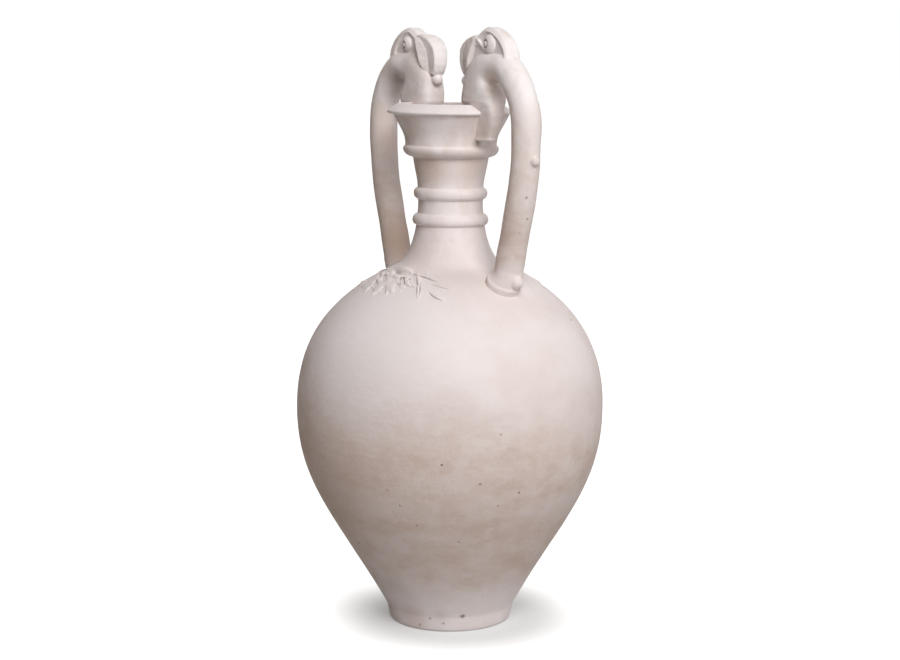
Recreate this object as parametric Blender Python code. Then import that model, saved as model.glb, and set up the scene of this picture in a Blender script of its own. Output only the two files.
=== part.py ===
"""Amphora vase with two dragon handles, as its turned and applied clay pieces.

Metres, +Z up. The origin is the centre of the flat base. The dragons stand on +X and -X,
the leaf sprays lie on the shoulder at -Y and +Y.
"""
import math

import bmesh
import bpy
from mathutils import Vector

# Slip joint left between pieces that touch, facets round a turned piece, and degrees of a crisp edge
GAP = 0.0003
TURN_STEPS = 40
SHARP_ANGLE = 40

# Foot
FOOT_RADIUS = 0.0515
FOOT_TOP_RADIUS = 0.0539
FOOT_HEIGHT = 0.0132
FOOT_EDGE = 0.0012

# Body, thrown in two halves that meet at the belly
BODY_WALL = 0.0070
FLOOR_THICKNESS = 0.0110
BELLY_RADIUS = 0.1286
LOWER_BODY_HEIGHT = 0.1713
FLANK_LEAN = 0.565
FLANK_PULL_LOW = 0.0794
FLANK_PULL_HIGH = 0.0663
UPPER_BODY_HEIGHT = 0.1164
SHOULDER_PULL_LOW = 0.0700
SHOULDER_PULL_HIGH = 0.0347
SHOULDER_SLOPE = 0.446
COLLAR_RADIUS = 0.0466
BODY_STEPS = 10

# Neck with two turned rings
NECK_WALL = 0.0060
NECK_ROOT_PULL = 0.0150
WAIST_RADIUS = 0.0269
WAIST_HEIGHT = 0.0550
WAIST_PULL = 0.0210
NECK_HEIGHT = 0.0905
NECK_TOP_RADIUS = 0.0313
NECK_TOP_FLARE = 0.0014
NECK_TOP_PULL = 0.0140
LOWER_RING_HEIGHT = 0.0379
LOWER_RING_REACH = 0.0038
UPPER_RING_HEIGHT = 0.0603
UPPER_RING_REACH = 0.0041
RING_BREADTH = 0.0104
RING_STEPS = 5
NECK_STEPS = 6

# Mouth cup with a rounded flange below and a bevelled lip above
CUP_WALL = 0.0052
CUP_HEIGHT = 0.0437
FLANGE_RADIUS = 0.0402
FLANGE_BREADTH = 0.0104
CUP_ROOT_RADIUS = 0.0378
CUP_ROOT_PULL = 0.0110
CUP_LIP_PULL = 0.0110
CUP_LIP_FLARE = 0.0045
LIP_RADIUS = 0.0520
LIP_DROP = 0.0068
LIP_OVERHANG = 0.0036
LIP_UNDERCUT = 0.0014
RIM_RADIUS = 0.0432
RIM_BREADTH = 0.0016
CUP_STEPS = 5

# Handle roll, from its pad on the shoulder over an arch to the rim
HANDLE_SEAT = 0.0740
HANDLE_REACH = 0.1000
HANDLE_RADIUS = 0.0118
HANDLE_LEAN = 0.26
HANDLE_PULL = 0.0560
REACH_DROP = 0.0180
REACH_PULL = 0.0240
ARCH_RISE = 0.0320
ARCH_CENTRE = 0.0690
ARCH_PULL = 0.0120
THROAT_PULL = 0.0180
THROAT_CENTRE = 0.0416
THROAT_DEPTH = 0.0176
THROAT_THICKNESS = 0.0108
THROAT_RISE = 0.0080
LEG_STEPS = 8
ARCH_STEPS = 6
ROLL_SIDES = 16
PAD_RADIUS = 0.0152
PAD_THICKNESS = 0.0032

# Rim clasp, the dragon's chest that straddles the lip
TOE_RADIUS = 0.0525
TOE_THICKNESS = 0.0056
TOE_LIFT = 0.0045
CHEST_TAPER = 0.0125
CLASP_STEPS = 5
CLASP_BOXINESS = 0.35

# Dragon's head on the arch
CROWN_CENTRE = 0.0610
CROWN_HEIGHT = 0.0215
CROWN_LEAN = 0.0070
CROWN_PULL = 0.0130
CROWN_THICKNESS = 0.0080
CROWN_SINK = 0.0030
CROWN_STEPS = 5
NAPE_SETBACK = 0.0220
NAPE_PULL = 0.0100
BROW_RISE = 0.0140
BROW_SETBACK = 0.0190
CHEEK_SETBACK = 0.0260
CHEEK_THICKNESS = 0.0113
FACE_SETBACK = 0.0345
FACE_THICKNESS = 0.0078
CHIN_DROP = 0.0065
BROW_PULL = 0.7
CHIN_PULL = 0.6
HEAD_CORNER = 0.0032
SNOUT_THICKNESS = 0.0068
SNOUT_TOP_WIDTH = 0.0090
SNOUT_TIP_WIDTH = 0.0062
SNOUT_STEPS = 8
SNOUT_ROOT_SHARE = 0.12
SNOUT_CURL_SHARE = 0.70
SNOUT_FULLNESS = 0.7
EYE_RADIUS = 0.0066
EYE_HEIGHT = 0.0036
PUPIL_RADIUS = 0.0028
PUPIL_GROOVE = 0.0008
PUPIL_DEPTH = 0.0009
EYE_RISE = 0.0086
EYE_SETBACK = 0.0035
PEARL_RADIUS = 0.0049

# Clay beads on the handle's spine, at shares of the leg from foot to widest point
BEAD_RADIUS = 0.0040
SPINE_BEAD_PLACE = 0.85
FOOT_BEAD_PLACE = 0.05
PLACE_STEPS = 40
BALL_SIDES = 12

# Leaf sprays, given as plan places: across the spray, then out from the vase's axis
BUD_PLACE = (0.0, 0.0515)
BUD_BREADTH = 0.0085
BUD_LENGTH = 0.0052
BUD_HEIGHT = 0.0048
BUD_EDGE = 0.0016
LEAF_HEIGHT = 0.0026
LEAF_EDGE = 0.0011
LEAF_POINTS = 12
LEAF_FULLNESS = 1.15
RIM_SHRINK = 0.95
DOME_SHRINK = 0.6
DOME_FULLNESS = 0.8
MIDDLE_LEAF = ((0.0, 0.0600), (0.0, 0.0790), 0.0046)
SIDE_LEAVES = {
    "shoot": ((0.0120, 0.0480), (0.0520, 0.0470), 0.0042),
    "frond": ((0.0280, 0.0540), (0.0575, 0.0585), 0.0042),
    "finger": ((0.0200, 0.0545), (0.0390, 0.0690), 0.0032),
    "lobe": ((0.0105, 0.0580), (0.0210, 0.0755), 0.0042),
}

# Clay colours
VESSEL_COLOUR = (0.75, 0.69, 0.66)
HANDLE_COLOUR = (0.75, 0.69, 0.65)
ORNAMENT_COLOUR = (0.78, 0.73, 0.70)
CLAY_ROUGHNESS = 0.7

# Levels worked out from the heights above
BELLY_LEVEL = FOOT_HEIGHT + LOWER_BODY_HEIGHT
COLLAR_LEVEL = BELLY_LEVEL + UPPER_BODY_HEIGHT
CUP_LEVEL = COLLAR_LEVEL + NECK_HEIGHT
RIM_LEVEL = CUP_LEVEL + CUP_HEIGHT
LIP_LEVEL = RIM_LEVEL - LIP_DROP
THROAT_LEVEL = RIM_LEVEL + THROAT_RISE
ARCH_LEVEL = RIM_LEVEL + ARCH_RISE
CROWN_LEVEL = ARCH_LEVEL + HANDLE_RADIUS - CROWN_SINK


# Curves in a plane through the axis, as (radius, height) points

def bezier(start, start_pull, end_pull, end, steps):
    """Points of a cubic Bezier curve, both ends included."""
    corners = (start, start_pull, end_pull, end)
    points = []
    for k in range(steps + 1):
        t = k / steps
        s = 1.0 - t
        weights = (s ** 3, 3 * s * s * t, 3 * s * t * t, t ** 3)
        points.append(tuple(sum(w * c[i] for w, c in zip(weights, corners)) for i in (0, 1)))
    return points


def unit(x, y):
    length = math.hypot(x, y)
    return x / length, y / length


def offset(points, distance, closed=False):
    """Outline moved to its right-hand side, with mitred corners."""
    moved = []
    count = len(points)
    for i, (x, y) in enumerate(points):
        normals = []
        if closed or i > 0:
            before = points[i - 1]
            tangent = unit(x - before[0], y - before[1])
            normals.append((tangent[1], -tangent[0]))
        if closed or i < count - 1:
            after = points[(i + 1) % count]
            tangent = unit(after[0] - x, after[1] - y)
            normals.append((tangent[1], -tangent[0]))
        normal = unit(sum(n[0] for n in normals), sum(n[1] for n in normals))
        stretch = distance / (normal[0] * normals[0][0] + normal[1] * normals[0][1])
        moved.append((x + normal[0] * stretch, y + normal[1] * stretch))
    return moved


def radius_at(profile, level):
    """Radius of an upward profile at a height."""
    for (r0, z0), (r1, z1) in zip(profile, profile[1:]):
        if z0 <= level <= z1:
            return r0 + (r1 - r0) * (level - z0) / (z1 - z0)
    return profile[-1][0]


# The vessel's outer profiles, each running upward

def flank_profile():
    start = (FOOT_TOP_RADIUS, FOOT_HEIGHT)
    end = (BELLY_RADIUS, BELLY_LEVEL)
    start_pull = (start[0] + FLANK_LEAN * FLANK_PULL_LOW, start[1] + FLANK_PULL_LOW)
    end_pull = (end[0], end[1] - FLANK_PULL_HIGH)
    return bezier(start, start_pull, end_pull, end, BODY_STEPS)


def shoulder_profile():
    start = (BELLY_RADIUS, BELLY_LEVEL)
    end = (COLLAR_RADIUS, COLLAR_LEVEL)
    start_pull = (start[0], start[1] + SHOULDER_PULL_LOW)
    end_pull = (end[0] + SHOULDER_PULL_HIGH, end[1] - SHOULDER_PULL_HIGH * SHOULDER_SLOPE)
    return bezier(start, start_pull, end_pull, end, BODY_STEPS)


def neck_profile():
    """The neck without its rings: a flared root, a waist and a spreading top."""
    root = (COLLAR_RADIUS, COLLAR_LEVEL)
    waist = (WAIST_RADIUS, COLLAR_LEVEL + WAIST_HEIGHT)
    top = (NECK_TOP_RADIUS, CUP_LEVEL)
    root_pull = (root[0] - NECK_ROOT_PULL, root[1] + NECK_ROOT_PULL * SHOULDER_SLOPE)
    waist_low = (waist[0], waist[1] - WAIST_PULL)
    waist_high = (waist[0], waist[1] + WAIST_PULL)
    top_pull = (top[0] - NECK_TOP_FLARE, top[1] - NECK_TOP_PULL)
    lower = bezier(root, root_pull, waist_low, waist, NECK_STEPS)
    upper = bezier(waist, waist_high, top_pull, top, NECK_STEPS)
    return lower + upper[1:]


def ringed_neck_profile():
    """The neck's outside with a half-round ring at each ring height."""
    plain = neck_profile()
    margin = RING_BREADTH / RING_STEPS / 2
    outline = []
    level = COLLAR_LEVEL
    rings = ((LOWER_RING_HEIGHT, LOWER_RING_REACH), (UPPER_RING_HEIGHT, UPPER_RING_REACH))
    for height, reach in rings:
        middle = COLLAR_LEVEL + height
        low = middle - RING_BREADTH / 2 - margin
        outline += [p for p in plain if level <= p[1] < low]
        for k in range(RING_STEPS + 1):
            turn = math.pi * k / RING_STEPS
            z = middle - math.cos(turn) * RING_BREADTH / 2
            outline.append((radius_at(plain, z) + reach * math.sin(turn), z))
        level = middle + RING_BREADTH / 2 + margin
    return outline + [p for p in plain if p[1] >= level]


def cup_profile():
    """The mouth cup's outside: flange, flaring wall, overhanging lip and bevelled rim."""
    low = CUP_LEVEL + GAP
    middle = (NECK_TOP_RADIUS + CUP_ROOT_RADIUS) / 2
    outline = []
    for k in range(RING_STEPS + 1):
        turn = math.pi * k / RING_STEPS
        base = NECK_TOP_RADIUS + (CUP_ROOT_RADIUS - NECK_TOP_RADIUS) * k / RING_STEPS
        z = low + FLANGE_BREADTH * (1 - math.cos(turn)) / 2
        outline.append((base + (FLANGE_RADIUS - middle) * math.sin(turn), z))
    start = outline[-1]
    end = (LIP_RADIUS - LIP_OVERHANG, LIP_LEVEL - LIP_UNDERCUT)
    start_pull = (start[0], start[1] + CUP_ROOT_PULL)
    end_pull = (end[0] - CUP_LIP_FLARE, end[1] - CUP_LIP_PULL)
    outline += bezier(start, start_pull, end_pull, end, CUP_STEPS)[1:]
    outline.append((LIP_RADIUS, LIP_LEVEL))
    outline.append((RIM_RADIUS, RIM_LEVEL))
    return outline


def cup_outline():
    """The mouth cup's whole section, down its outside and up its inside."""
    outer = cup_profile()
    bore = (NECK_TOP_RADIUS - NECK_WALL, CUP_LEVEL + GAP)
    wall = offset(outer[RING_STEPS:-2], -CUP_WALL)
    rim = (RIM_RADIUS - RIM_BREADTH, RIM_LEVEL)
    return outer[::-1] + [bore] + wall + [rim]


# Meshes and objects

def clay(name, colour):
    finish = bpy.data.materials.new(name)
    finish.use_nodes = True
    shader = finish.node_tree.nodes["Principled BSDF"]
    shader.inputs["Base Color"].default_value = (*colour, 1.0)
    shader.inputs["Roughness"].default_value = CLAY_ROUGHNESS
    shader.inputs["Metallic"].default_value = 0.0
    return finish


def new_object(name, mesh, finish=None, parent=None):
    piece = bpy.data.objects.new(name, mesh)
    piece.parent = parent
    if finish is not None and not mesh.materials:
        mesh.materials.append(finish)
    bpy.context.collection.objects.link(piece)
    return piece


def new_empty(name, turn):
    empty = bpy.data.objects.new(name, None)
    empty.rotation_euler.z = turn
    bpy.context.collection.objects.link(empty)
    return empty


def as_cutter(piece):
    piece.hide_render = True
    piece.display_type = "WIRE"
    return piece


def finished_mesh(bm, name):
    bmesh.ops.recalc_face_normals(bm, faces=bm.faces)
    mesh = bpy.data.meshes.new(name)
    bm.to_mesh(mesh)
    bm.free()
    mesh.shade_smooth()
    mesh.set_sharp_from_angle(angle=math.radians(SHARP_ANGLE))
    return mesh


def turned(name, outline, finish=None, closed=True):
    """A piece turned about Z from an outline that runs down its outer side."""
    count = len(outline)
    edges = [(i, i + 1) for i in range(count - 1)]
    if closed:
        edges.append((count - 1, 0))
    mesh = bpy.data.meshes.new(name)
    mesh.from_pydata([(r, 0.0, z) for r, z in outline], edges, [])
    piece = new_object(name, mesh, finish)
    screw = piece.modifiers.new("turn", "SCREW")
    screw.angle = math.tau
    screw.steps = TURN_STEPS
    screw.render_steps = TURN_STEPS
    screw.use_merge_vertices = True
    screw.merge_threshold = 0.00001
    screw.use_smooth_shade = True
    return piece


def lofted(name, rings):
    """A closed skin over rings of points, capped at both ends; a one-point ring is a pole."""
    bm = bmesh.new()
    layers = [[bm.verts.new(p) for p in ring] for ring in rings]
    for low, high in zip(layers, layers[1:]):
        for k in range(max(len(low), len(high))):
            corners = []
            for layer, i in ((low, k), (low, k + 1), (high, k + 1), (high, k)):
                vert = layer[i % len(layer)]
                if vert not in corners:
                    corners.append(vert)
            bm.faces.new(corners)
    for layer in (layers[0], layers[-1]):
        if len(layer) > 1:
            bm.faces.new(layer)
    return finished_mesh(bm, name)


def carved(mesh, cutter):
    """The mesh less the cutter's volume, as a new mesh."""
    blank = new_object(mesh.name, mesh)
    cut = blank.modifiers.new("cut", "BOOLEAN")
    cut.operation = "DIFFERENCE"
    cut.solver = "EXACT"
    cut.object = cutter
    graph = bpy.context.evaluated_depsgraph_get()
    result = bpy.data.meshes.new_from_object(blank.evaluated_get(graph))
    bpy.data.objects.remove(blank)
    return result


# Vessel

def build_foot(finish):
    outline = [
        (0.0, FOOT_HEIGHT),
        (FOOT_TOP_RADIUS, FOOT_HEIGHT),
        (FOOT_RADIUS, FOOT_EDGE),
        (FOOT_RADIUS - FOOT_EDGE, 0.0),
        (0.0, 0.0),
    ]
    turned("foot", outline, finish, closed=False)


def build_lower_body(finish):
    outer = flank_profile()
    base = FOOT_HEIGHT + GAP
    outer[0] = (radius_at(outer, base), base)
    floor = FOOT_HEIGHT + FLOOR_THICKNESS
    inner = [p for p in offset(outer, -BODY_WALL) if p[1] > floor + BODY_WALL]
    inner[-1] = (inner[-1][0], BELLY_LEVEL)
    floor_edge = (inner[0][0] - BODY_WALL, floor)
    outline = [(0.0, floor), floor_edge] + inner + outer[::-1] + [(0.0, base)]
    turned("lower_body", outline, finish, closed=False)


def build_upper_body(finish):
    outer = shoulder_profile()
    inner = offset(outer, -BODY_WALL)
    seam = BELLY_LEVEL + GAP
    outer[0] = (outer[0][0], seam)
    inner[0] = (inner[0][0], seam)
    turned("upper_body", outer[::-1] + inner, finish)


def build_neck(finish):
    outer = ringed_neck_profile()
    inner = offset(neck_profile(), -NECK_WALL)
    inner[0] = offset(shoulder_profile(), -BODY_WALL)[-1]
    inner[-1] = (NECK_TOP_RADIUS - NECK_WALL, CUP_LEVEL)
    rise = unit(-1.0, SHOULDER_SLOPE)
    for line in (outer, inner):
        line[0] = (line[0][0] + rise[0] * GAP, line[0][1] + rise[1] * GAP)
    turned("neck", outer[::-1] + inner, finish)


def build_mouth_cup(finish):
    turned("mouth_cup", cup_outline(), finish)


# Pieces applied to the shoulder

def on_shoulder(across, out, lift):
    """A plan place, raised off the vessel's skin along the skin's normal."""
    skin = shoulder_profile() + neck_profile()[1:3]
    radius = math.hypot(across, out)
    for (r0, z0), (r1, z1) in zip(skin, skin[1:]):
        if r1 <= radius <= r0:
            break
    height = z0 + (z1 - z0) * (radius - r0) / (r1 - r0)
    normal = unit(z1 - z0, r0 - r1)
    spread = 1.0 + normal[0] * lift / radius
    return Vector((across * spread, out * spread, height + normal[1] * lift))


def applied(name, outline, edge, height):
    """A low domed piece that follows the shoulder under its plan outline."""
    count = len(outline)
    middle = [sum(p[i] for p in outline) / count for i in (0, 1)]

    def ring(scale, lift):
        points = []
        for x, y in outline:
            across = middle[0] + (x - middle[0]) * scale
            out = middle[1] + (y - middle[1]) * scale
            points.append(on_shoulder(across, out, GAP + lift))
        return points

    rings = [
        [on_shoulder(*middle, GAP)],
        ring(0.5, 0.0),
        ring(1.0, 0.0),
        ring(RIM_SHRINK, edge),
        ring(DOME_SHRINK, edge + (height - edge) * DOME_FULLNESS),
        [on_shoulder(*middle, GAP + height)],
    ]
    return lofted(name, rings)


def leaf_outline(base, tip, half_width):
    """An almond from base to tip, fullest a little past its middle."""
    length = math.hypot(tip[0] - base[0], tip[1] - base[1])
    along = unit(tip[0] - base[0], tip[1] - base[1])
    half = LEAF_POINTS // 2
    outline = []
    for k in range(LEAF_POINTS):
        t = k / half if k <= half else 2.0 - k / half
        side = 0.0 if k % half == 0 else math.copysign(1.0, half - k)
        swell = side * half_width * math.sin(math.pi * t ** LEAF_FULLNESS)
        outline.append((base[0] + along[0] * length * t - along[1] * swell,
                        base[1] + along[1] * length * t + along[0] * swell))
    return outline


def build_spray(label, turn, finish):
    """A bud with a middle leaf and four leaves to each side, as seen when facing the spray."""
    spray = new_empty(label + "_spray", turn)
    bud = []
    for k in range(LEAF_POINTS):
        angle = math.tau * k / LEAF_POINTS
        bud.append((BUD_PLACE[0] + BUD_BREADTH * math.cos(angle),
                    BUD_PLACE[1] + BUD_LENGTH * math.sin(angle)))
    new_object(label + "_spray_bud", applied("bud", bud, BUD_EDGE, BUD_HEIGHT), finish, spray)
    leaves = {"middle_leaf": MIDDLE_LEAF}
    for name, (base, tip, width) in SIDE_LEAVES.items():
        leaves["left_" + name] = (base, tip, width)
        leaves["right_" + name] = ((-base[0], base[1]), (-tip[0], tip[1]), width)
    for name, leaf in leaves.items():
        mesh = applied(name, leaf_outline(*leaf), LEAF_EDGE, LEAF_HEIGHT)
        new_object(label + "_spray_" + name, mesh, finish, spray)


# Dragon handle, in a plane through the vase's axis: out along X, up along Z

def roll_stations(leg_steps=LEG_STEPS):
    """Stations along the roll: centre, spine direction, half depth, half thickness, boxiness."""
    foot = (HANDLE_SEAT, on_shoulder(0.0, HANDLE_SEAT, 0.0).z)
    widest = (HANDLE_REACH, RIM_LEVEL - REACH_DROP)
    crest = (ARCH_CENTRE, ARCH_LEVEL)
    throat = (THROAT_CENTRE, THROAT_LEVEL)
    leg = bezier(foot, (foot[0] + HANDLE_LEAN * HANDLE_PULL, foot[1] + HANDLE_PULL),
                 (widest[0], widest[1] - HANDLE_PULL), widest, leg_steps)
    rising = bezier(widest, (widest[0], widest[1] + REACH_PULL),
                    (crest[0] + ARCH_PULL, crest[1]), crest, ARCH_STEPS)
    falling = bezier(crest, (crest[0] - THROAT_PULL, crest[1]),
                     (throat[0], throat[1] + THROAT_PULL), throat, ARCH_STEPS)
    path = leg + rising[1:] + falling[1:]
    last = len(path) - 1
    stations = []
    for i, centre in enumerate(path):
        tangent = (0.0, -1.0)
        if i < last:
            before = path[max(i - 1, 0)]
            tangent = unit(path[i + 1][0] - before[0], path[i + 1][1] - before[1])
        ease = max(0.0, (i - last + ARCH_STEPS) / ARCH_STEPS)
        depth = HANDLE_RADIUS + (THROAT_DEPTH - HANDLE_RADIUS) * ease
        thickness = HANDLE_RADIUS + (THROAT_THICKNESS - HANDLE_RADIUS) * ease
        boxiness = 1.0 + (CLASP_BOXINESS - 1.0) * ease
        stations.append((centre, (tangent[1], -tangent[0]), depth, thickness, boxiness))
    return stations


def rounded_section(depth, thickness, boxiness):
    """A closed section from an ellipse (boxiness 1) towards a box, as (spine, side) offsets."""
    section = []
    for k in range(ROLL_SIDES):
        turn = math.tau * k / ROLL_SIDES
        c = math.cos(turn)
        s = math.sin(turn)
        section.append((math.copysign(abs(c) ** boxiness, c) * depth,
                        math.copysign(abs(s) ** boxiness, s) * thickness))
    return section


def seat_point(u, v, lift):
    """A place round the roll's foot, raised off the shoulder."""
    place = on_shoulder(v, HANDLE_SEAT + u, lift)
    return Vector((place.y, place.x, place.z))


def roll_mesh(name, lift):
    """The handle roll standing on its pad, or with a lift the same roll fatter by that much."""
    stand = PAD_THICKNESS + 2 * GAP
    rings = []
    for i, (centre, spine, depth, thickness, boxiness) in enumerate(roll_stations()):
        section = rounded_section(depth + lift, thickness + lift, boxiness)
        if i == 0:
            rings.append([seat_point(0.0, 0.0, stand)])
            rings.append([seat_point(u / 2, v / 2, stand) for u, v in section])
            rings.append([seat_point(u, v, stand) for u, v in section])
        else:
            rings.append([(centre[0] + spine[0] * u, v, centre[1] + spine[1] * u) for u, v in section])
    return lofted(name, rings)


def pad_mesh():
    """The flat pad that spreads the roll's foot on the shoulder."""
    outline = []
    for k in range(ROLL_SIDES):
        turn = math.tau * k / ROLL_SIDES
        outline.append((PAD_RADIUS * math.sin(turn), HANDLE_SEAT + PAD_RADIUS * math.cos(turn)))
    mesh = applied("pad", outline, PAD_THICKNESS, PAD_THICKNESS)
    for vert in mesh.vertices:
        vert.co = (vert.co.y, vert.co.x, vert.co.z)
    mesh.flip_normals()
    return mesh


def clasp_mesh(cup_cutter):
    """The chest below the throat, cut to straddle the mouth cup's lip."""
    top = THROAT_LEVEL - GAP
    bottom = CUP_LEVEL + GAP + FLANGE_BREADTH + TOE_LIFT
    outer_top = THROAT_CENTRE + THROAT_DEPTH
    inner_top = THROAT_CENTRE - THROAT_DEPTH
    rings = []
    for k in range(CLASP_STEPS + 1):
        t = k / CLASP_STEPS
        outer = outer_top + (TOE_RADIUS - outer_top) * t
        inner = inner_top + CHEST_TAPER * t
        thickness = THROAT_THICKNESS + (TOE_THICKNESS - THROAT_THICKNESS) * t
        centre = (outer + inner) / 2
        section = rounded_section((outer - inner) / 2, thickness, CLASP_BOXINESS)
        rings.append([(centre - u, v, top + (bottom - top) * t) for u, v in section])
    return carved(lofted("rim_clasp", rings), cup_cutter)


def crown_profile():
    """The back of the head, from the nape up to its top."""
    nape = (CROWN_CENTRE + NAPE_SETBACK, CROWN_LEVEL)
    top = (CROWN_CENTRE - CROWN_LEAN, CROWN_LEVEL + CROWN_HEIGHT)
    nape_pull = (nape[0], nape[1] + NAPE_PULL)
    top_pull = (top[0] + CROWN_PULL, top[1])
    return bezier(nape, nape_pull, top_pull, top, CROWN_STEPS)


def face_profile():
    """The brow and front of the head, from the crown forward and down to the chin."""
    brow = (CROWN_CENTRE - BROW_SETBACK, CROWN_LEVEL + BROW_RISE)
    chin = (CROWN_CENTRE - FACE_SETBACK, ARCH_LEVEL - CHIN_DROP)
    brow_pull = (brow[0] + (chin[0] - brow[0]) * BROW_PULL, brow[1])
    chin_pull = (chin[0], chin[1] + (brow[1] - chin[1]) * CHIN_PULL)
    return bezier(brow, brow_pull, chin_pull, chin, SNOUT_STEPS)


def head_section(u, top, low, width):
    """A tombstone section across the head: flat foot, upright sides, rounded top."""
    right = [(width, low)]
    for turn in (0, 45, 90):
        angle = math.radians(turn)
        right.append((width - HEAD_CORNER * (1 - math.cos(angle)), top - HEAD_CORNER * (1 - math.sin(angle))))
    left = [(-v, z) for v, z in right[::-1]]
    return [(u, v, z) for v, z in right + left]


def head_mesh(roll_cutter):
    """Crown and cheeks, lofted from the nape to the face and seated on the arch."""
    low = ARCH_LEVEL - CROWN_SINK
    brow = CROWN_CENTRE - BROW_SETBACK
    cheek = CROWN_CENTRE - CHEEK_SETBACK
    front = CROWN_CENTRE - FACE_SETBACK
    rings = []
    for u, z in crown_profile():
        rings.append(head_section(u, z, low, CROWN_THICKNESS))
    for u, z in face_profile():
        if u > cheek:
            share = (brow - u) / (brow - cheek)
            width = CROWN_THICKNESS + (CHEEK_THICKNESS - CROWN_THICKNESS) * share
        else:
            share = (cheek - u) / (cheek - front)
            width = CHEEK_THICKNESS + (FACE_THICKNESS - CHEEK_THICKNESS) * share
        if z > low + HEAD_CORNER:
            rings.append(head_section(u, z, low, width))
    return carved(lofted("head", rings), roll_cutter)


def snout_outline():
    """Side view of the curled snout: a strip that follows the face and thins towards its tip."""
    inner = offset(face_profile()[1:], GAP)
    outer = []
    for k, ((x, z), (far_x, far_z)) in enumerate(zip(inner, offset(inner, SNOUT_THICKNESS))):
        share = SNOUT_ROOT_SHARE + SNOUT_CURL_SHARE * k / (len(inner) - 1)
        fullness = math.sin(math.pi * share) ** SNOUT_FULLNESS
        outer.append((x + (far_x - x) * fullness, z + (far_z - z) * fullness))
    return inner, outer


def snout_mesh():
    """The snout's side view given its width, narrower towards the tip."""
    inner, outer = snout_outline()
    outline = inner + outer[::-1]
    top = max(z for x, z in outline)
    tip = min(z for x, z in outline)
    sides = []
    for side in (-1, 1):
        ring = []
        for x, z in outline:
            width = SNOUT_TOP_WIDTH + (SNOUT_TIP_WIDTH - SNOUT_TOP_WIDTH) * (top - z) / (top - tip)
            ring.append((x, side * width, z))
        sides.append(ring)
    return lofted("snout", sides)


def eye_mesh():
    """A low dome with a flat back and a grooved ring for the pupil, looking along -Y."""
    rings = []
    for reach, groove in (
        (EYE_RADIUS, 0.0),
        (EYE_RADIUS * math.cos(math.radians(30)), 0.0),
        (PUPIL_RADIUS + PUPIL_GROOVE, 0.0),
        (PUPIL_RADIUS, PUPIL_DEPTH),
        (PUPIL_RADIUS - PUPIL_GROOVE, 0.0),
    ):
        height = EYE_HEIGHT * math.sqrt(1.0 - (reach / EYE_RADIUS) ** 2) - groove
        ring = []
        for k in range(BALL_SIDES):
            sweep = math.tau * k / BALL_SIDES
            ring.append((reach * math.cos(sweep), -height, reach * math.sin(sweep)))
        rings.append(ring)
    rings.append([(0.0, -EYE_HEIGHT, 0.0)])
    return lofted("eye", rings)


def ball_mesh(name, centre, radius, roll_cutter):
    """A ball of clay pressed on to the roll."""
    bm = bmesh.new()
    bmesh.ops.create_uvsphere(bm, u_segments=BALL_SIDES, v_segments=BALL_SIDES // 2, radius=radius)
    bmesh.ops.translate(bm, verts=bm.verts, vec=centre)
    return carved(finished_mesh(bm, name), roll_cutter)


def spine_point(place):
    """A point on the roll's spine, at a share of the leg."""
    centre, spine, depth = roll_stations(PLACE_STEPS)[round(place * PLACE_STEPS)][:3]
    return Vector((centre[0] + spine[0] * depth, 0.0, centre[1] + spine[1] * depth))


def pearl_place():
    """Below the tip of the snout and against the throat."""
    inner, outer = snout_outline()
    tip = min(inner[-1][1], outer[-1][1])
    return Vector(((inner[-1][0] + outer[-1][0]) / 2, 0.0, tip - GAP - PEARL_RADIUS))


def build_dragons(handle_finish, ornament_finish):
    """Both dragon handles, from one set of meshes."""
    roll_cutter = as_cutter(new_object("roll_cutter", roll_mesh("roll_cutter", GAP)))
    cup_cutter = as_cutter(turned("cup_cutter", offset(cup_outline(), -GAP, closed=True)))
    handle_parts = {
        "handle": roll_mesh("handle", 0.0),
        "handle_pad": pad_mesh(),
        "rim_clasp": clasp_mesh(cup_cutter),
        "dragon_head": head_mesh(roll_cutter),
        "dragon_snout": snout_mesh(),
    }
    ornaments = {
        "dragon_pearl": ball_mesh("pearl", pearl_place(), PEARL_RADIUS, roll_cutter),
        "spine_bead": ball_mesh("spine_bead", spine_point(SPINE_BEAD_PLACE), BEAD_RADIUS, roll_cutter),
        "foot_bead": ball_mesh("foot_bead", spine_point(FOOT_BEAD_PLACE), BEAD_RADIUS, roll_cutter),
    }
    eye = eye_mesh()
    for label, turn, eye_names in (("right", 0.0, ("front", "back")), ("left", math.pi, ("back", "front"))):
        dragon = new_empty(label + "_dragon", turn)
        for name, mesh in handle_parts.items():
            new_object(label + "_" + name, mesh, handle_finish, dragon)
        for name, mesh in ornaments.items():
            new_object(label + "_" + name, mesh, ornament_finish, dragon)
        for eye_name, side in zip(eye_names, (-1, 1)):
            dome = new_object(label + "_dragon_eye_" + eye_name, eye, ornament_finish, dragon)
            back = side * (CROWN_THICKNESS + GAP)
            dome.location = (CROWN_CENTRE - EYE_SETBACK, back, CROWN_LEVEL + EYE_RISE)
            dome.rotation_euler.z = math.pi * (side + 1) / 2
    for cutter in (roll_cutter, cup_cutter):
        bpy.data.objects.remove(cutter)


def main():
    for old in list(bpy.data.objects):
        bpy.data.objects.remove(old, do_unlink=True)
    vessel = clay("vessel clay", VESSEL_COLOUR)
    build_foot(vessel)
    build_lower_body(vessel)
    build_upper_body(vessel)
    build_neck(vessel)
    build_mouth_cup(vessel)
    ornament = clay("ornament clay", ORNAMENT_COLOUR)
    build_dragons(clay("handle clay", HANDLE_COLOUR), ornament)
    build_spray("front", math.pi, ornament)
    build_spray("back", 0.0, ornament)


main()
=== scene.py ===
import math

import bmesh
import bpy
import numpy as np
from mathutils import Matrix, Vector, noise


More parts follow.
